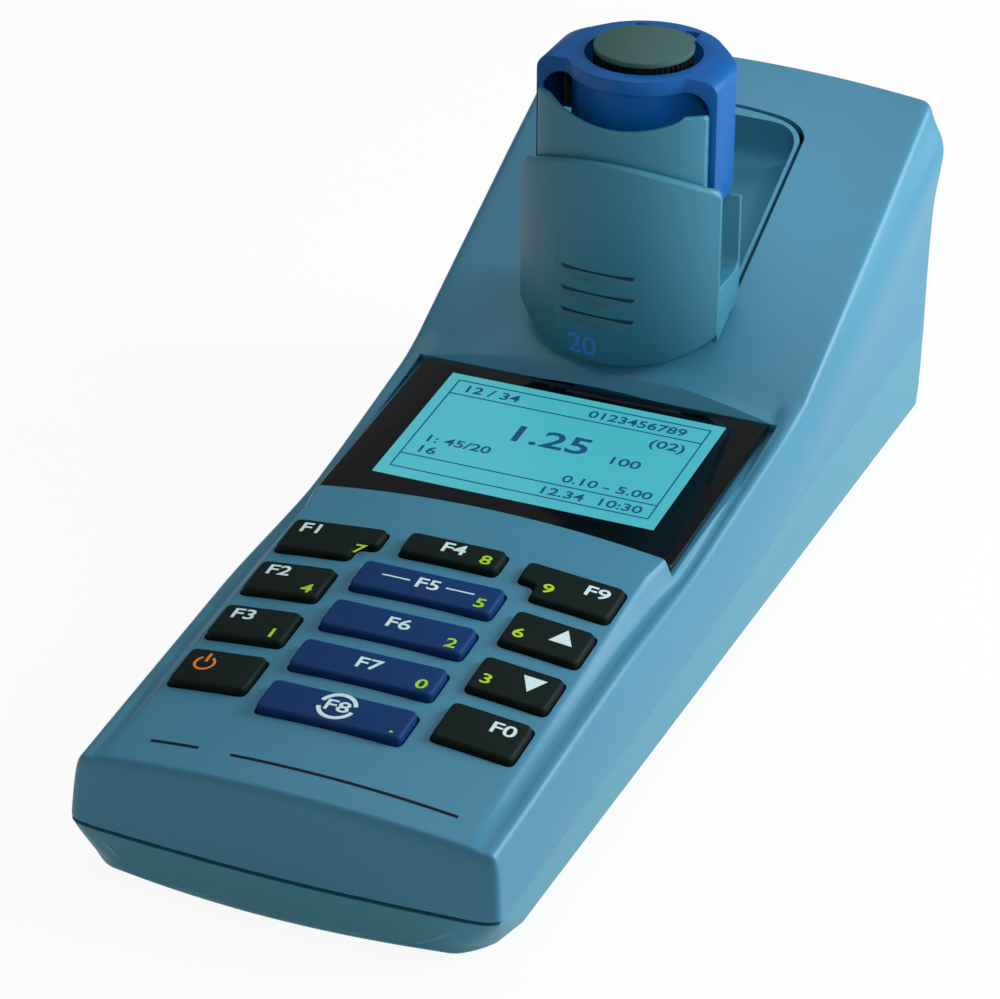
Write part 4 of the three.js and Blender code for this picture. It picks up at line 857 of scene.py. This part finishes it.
teeth = 52
knurl = []
for i in range(teeth):
    for radius, share in ((PLUG_RADIUS, 0.0), (PLUG_RADIUS, 0.4), (9.35, 0.55), (9.35, 0.85)):
        turn = 2 * math.pi * (i + share) / teeth
        knurl.append((radius * math.cos(turn), TOWER_AT + radius * math.sin(turn)))
skirt = slab(knurl, 80.3, 96.1, FLAT)
finish_piece(skirt, "plug_grip", finishes["black_plastic"], "plug", ["plug_skirt"], 20)
cap = disc(PLUG_RADIUS, 96.2, 97.4, FLAT, 0, TOWER_AT, 96)
tab = slab([(-1.5, 9), (1.5, 9), (1.5, 10.9), (-1.5, 10.9)], 96.2, 97.1,
           FLAT @ Matrix.Translation((0, TOWER_AT, 0)) @ Matrix.Rotation(math.radians(-38), 4, "Z"))
join_by(cap, tab, "UNION")
soften(cap, 0.25, 2, 50)
finish_piece(cap, "plug_cap", finishes["plug_top"], "plug", ["plug_disc"])


# ---- recess insert, feet, battery door and sockets ----

def scoop(grow):
    """A trough along the slope with a round rear end."""
    half, depth, end = 17.9 + grow, 14 + grow, SCOOP_END + grow
    trough = [(-half, 14), (-half, -depth / 4)] + curve((-half, -depth / 4), (-half, -depth), (0, -depth), 14)
    trough += curve((0, -depth), (half, -depth), (half, -depth / 4), 14) + [(half, 14)]
    made = slab(trough, -3 - grow, end, SLOPE @ SWAPPED)
    ramp = [(-9, -30), (end - 6, -depth - 2)] + curve((end - 6, -depth), (end, -depth), (end, -8), 10)
    ramp += [(end, 20), (-9, 20)]
    join_by(made, slab(ramp, -30, 30, SLOPE @ ALONG), "INTERSECT")
    plan = rounded(rectangle(-half, half, -30, end), 7 + grow, 12)
    return join_by(made, slab(plan, -40, 40, SLOPE), "INTERSECT")


tray = slab(recess_outline(RECESS_GAP), -2.4, 14, SLOPE)
well = scoop(1.2)
join_by(well, slab(recess_outline(RECESS_GAP), -15.2, 14, SLOPE), "INTERSECT")
join_by(tray, [well, disc(13.2, 24, 80, FLAT, 0, TOWER_AT, 64)], "UNION")
join_by(tray, whole, "INTERSECT")
join_by(tray, scoop(0))
for side in (-1, 1):
    edges = sorted((side * 12.9, side * 15.5))
    leg = slab(rectangle(FOLD_AT - 3.4, FOLD_AT + 3.4, 24, FOLD_HEIGHT), *edges, SIDEWAYS)
    join_by(tray, [leg, disc(3.4, *edges, SIDEWAYS, FOLD_AT, FOLD_HEIGHT, 40)], "UNION")
join_by(tray, [disc(12, 10, 90, FLAT, 0, TOWER_AT, 96), disc(1.8, -30, 30, SIDEWAYS, FOLD_AT, FOLD_HEIGHT, 24)])
finish_piece(tray, "recess_tray", finishes["casing"], "casing", ["shaft_tray"])

for end, (post_x, at) in zip(("front", "rear"), POST_PLACES):
    for side, word in ((-1, "left"), (1, "right")):
        x = side * (post_x - 12.8)
        pad = slab(rounded(rectangle(x - 8, x + 8, at - 3, at + 3), 2), -2.6, 1.15 - keel(at - 6), FLAT)
        soften(pad, 0.3, 2, 50)
        finish_piece(pad, f"pad_{end}_{word}", finishes["foot_rubber"], "casing", [f"foot_{end}_{word}"])

door_front, door_rear, door_top = 74, 136.2, 3.1
door = slab(rounded(rectangle(-30, 30, door_front, door_rear), 1), 0.0, door_top, FLAT)
ridges = [block(-8, 8, door_front + 4 + 2.4 * i, door_front + 5 + 2.4 * i, -1, 0.5) for i in range(6)]
join_by(door, ridges)
join_by(door, block(-32.3, 32.3, door_front, door_rear, 1.5, door_top), "UNION")
finish_piece(door, "door_plate", finishes["casing"], "battery_door", ["battery_door"])


def socket_outline(half_width, half_height, turn):
    """Outline of the data socket in the rear wall, with turned corners."""
    return rounded(rectangle(SOCKET_X - half_width, SOCKET_X + half_width, SOCKET_HEIGHT - half_height,
                             SOCKET_HEIGHT + half_height), turn)


shell = slab(socket_outline(8.5, 4.4, 1.6), SOCKET_FRONT, SOCKET_FACE, FRONTAL)
join_by(shell, slab(socket_outline(7.3, 3.2, 1.2), SOCKET_FLOOR, 230, FRONTAL))
soften(shell, 0.25, 2, 50)
pin_places = [(column, 1.3) for column in range(-2, 3)] + [(column, -1.3) for column in range(-2, 2)]
pins = [disc(0.45, 214.5, 219.5, FRONTAL, SOCKET_X + 2.7 * column, SOCKET_HEIGHT + rise, 12)
        for column, rise in pin_places]
join_by(shell, pins, "UNION")
finish_piece(shell, "data_socket_shell", finishes["steel"], "casing", ["serial_socket"])
jack = disc(5, SOCKET_FRONT, SOCKET_FACE, FRONTAL, JACK_X, SOCKET_HEIGHT, 64)
join_by(jack, disc(3.8, SOCKET_FLOOR, 230, FRONTAL, JACK_X, SOCKET_HEIGHT, 64))
join_by(jack, disc(1.2, 214, 220, FRONTAL, JACK_X, SOCKET_HEIGHT, 24), "UNION")
finish_piece(jack, "power_jack", finishes["black_plastic"], "casing", ["power_socket"])


# ---- camera, light and floor ----

def camera_at(place, yaw, pitch, roll, lens):
    """A camera in metres, radians and millimetres of lens; yaw runs from +Y, pitch looks down."""
    ahead = Vector((math.sin(yaw) * math.cos(pitch), math.cos(yaw) * math.cos(pitch), -math.sin(pitch)))
    right = ahead.cross(Vector((0, 0, 1))).normalized()
    up = right.cross(ahead)
    level = math.cos(roll) * right + math.sin(roll) * up
    upward = math.cos(roll) * up - math.sin(roll) * right
    data = bpy.data.cameras.new("camera")
    data.lens = lens
    data.sensor_width = 36
    data.clip_start = 0.01
    camera = bpy.data.objects.new("camera", data)
    turn = Matrix((level, upward, -ahead)).transposed().to_4x4()
    camera.matrix_world = Matrix.Translation(place) @ turn
    scene.collection.objects.link(camera)
    scene.camera = camera


def lamp(name, place, aim, size, watts, colour=(1, 1, 1)):
    data = bpy.data.lights.new(name, "AREA")
    data.size = size
    data.energy = watts
    data.color = colour
    made = bpy.data.objects.new(name, data)
    made.location = place
    made.rotation_euler = (Vector(aim) - Vector(place)).to_track_quat("-Z", "Y").to_euler()
    scene.collection.objects.link(made)


def seen_straight(finish):
    """One for the rays that show the floor itself, in view or in a reflection, and zero for the light."""
    path = finish.node("LightPath", {}, {})
    rays = path.socket.node.outputs
    seen = Value(finish, rays["Is Camera Ray"]).math("MAXIMUM", Value(finish, rays["Is Glossy Ray"]))
    return seen.math("MAXIMUM", Value(finish, rays["Is Transmission Ray"]))


camera_at((0.2719819, -0.6463984, 0.4134433), yaw=-0.4063408, pitch=0.5038843, roll=0.0049886, lens=150.0789)
target = (0, 0, 0.03)
lamp("side_light", (0.55, 0.25, 0.30), target, 0.35, 5.8, (0.88, 0.97, 1.0))
lamp("top_light", (-0.1, 0.2, 0.8), target, 0.6, 1.9)
lamp("front_light", (-0.3, -0.8, 0.4), target, 0.6, 0.6, (0.95, 1.0, 0.9))

# A narrow, soft-edged spot reaches the scoop, which the tower keeps in the dark.
spot = bpy.data.lights.new("recess_light", "SPOT")
spot.energy = 38
spot.spot_size = 0.062
spot.spot_blend = 1
spot.shadow_soft_size = 0.03
aimed = bpy.data.objects.new("recess_light", spot)
aimed.location = (0.28, -0.6, 0.5)
aimed.rotation_euler = (Vector((0.012, 0.082, 0.062)) - aimed.location).to_track_quat("-Z", "Y").to_euler()
scene.collection.objects.link(aimed)

world = bpy.data.worlds.new("studio")
scene.world = world
world.use_nodes = True
background = world.node_tree.nodes["Background"]
background.inputs["Color"].default_value = (1, 1, 1, 1)
path = world.node_tree.nodes.new("ShaderNodeLightPath")
rays = world.node_tree.nodes.new("ShaderNodeMath")
rays.operation = "MAXIMUM"
world.node_tree.links.new(path.outputs["Is Camera Ray"], rays.inputs[0])
world.node_tree.links.new(path.outputs["Is Transmission Ray"], rays.inputs[1])
level = world.node_tree.nodes.new("ShaderNodeMapRange")
level.inputs["To Min"].default_value = 0.24
level.inputs["To Max"].default_value = 1.0
world.node_tree.links.new(rays.outputs[0], level.inputs["Value"])
world.node_tree.links.new(level.outputs[0], background.inputs["Strength"])

bpy.ops.object.select_all(action="DESELECT")
bpy.ops.mesh.primitive_plane_add(size=6, location=(0, 0, -0.0002))
floor = bpy.context.object
floor.name = "floor"
ground = Finish("pale_floor", Roughness=0.9)
ground.set("Base Color", (0.8, 0.8, 0.8, 1))
glow = ground.node("Emission", {}, {"Color": (1, 1, 1, 1), "Strength": 1.0})
mixer = ground.node("MixShader", {}, {})
seen = seen_straight(ground)
for index, value in ((0, seen * 0.92), (1, Value(ground, ground.shader.outputs[0])), (2, glow)):
    ground.feed(mixer.socket.node.inputs[index], value)
ground.feed(ground.tree.nodes["Material Output"].inputs["Surface"], mixer)
floor.data.materials.append(ground.material)

scene.view_settings.view_transform = "Standard"

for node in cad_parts.values():
    for slot in node.material_slots:
        key = (slot.material.name if slot.material else "casing").split(".")[0]
        slot.material = finishes.get(key, finishes["casing"]).material
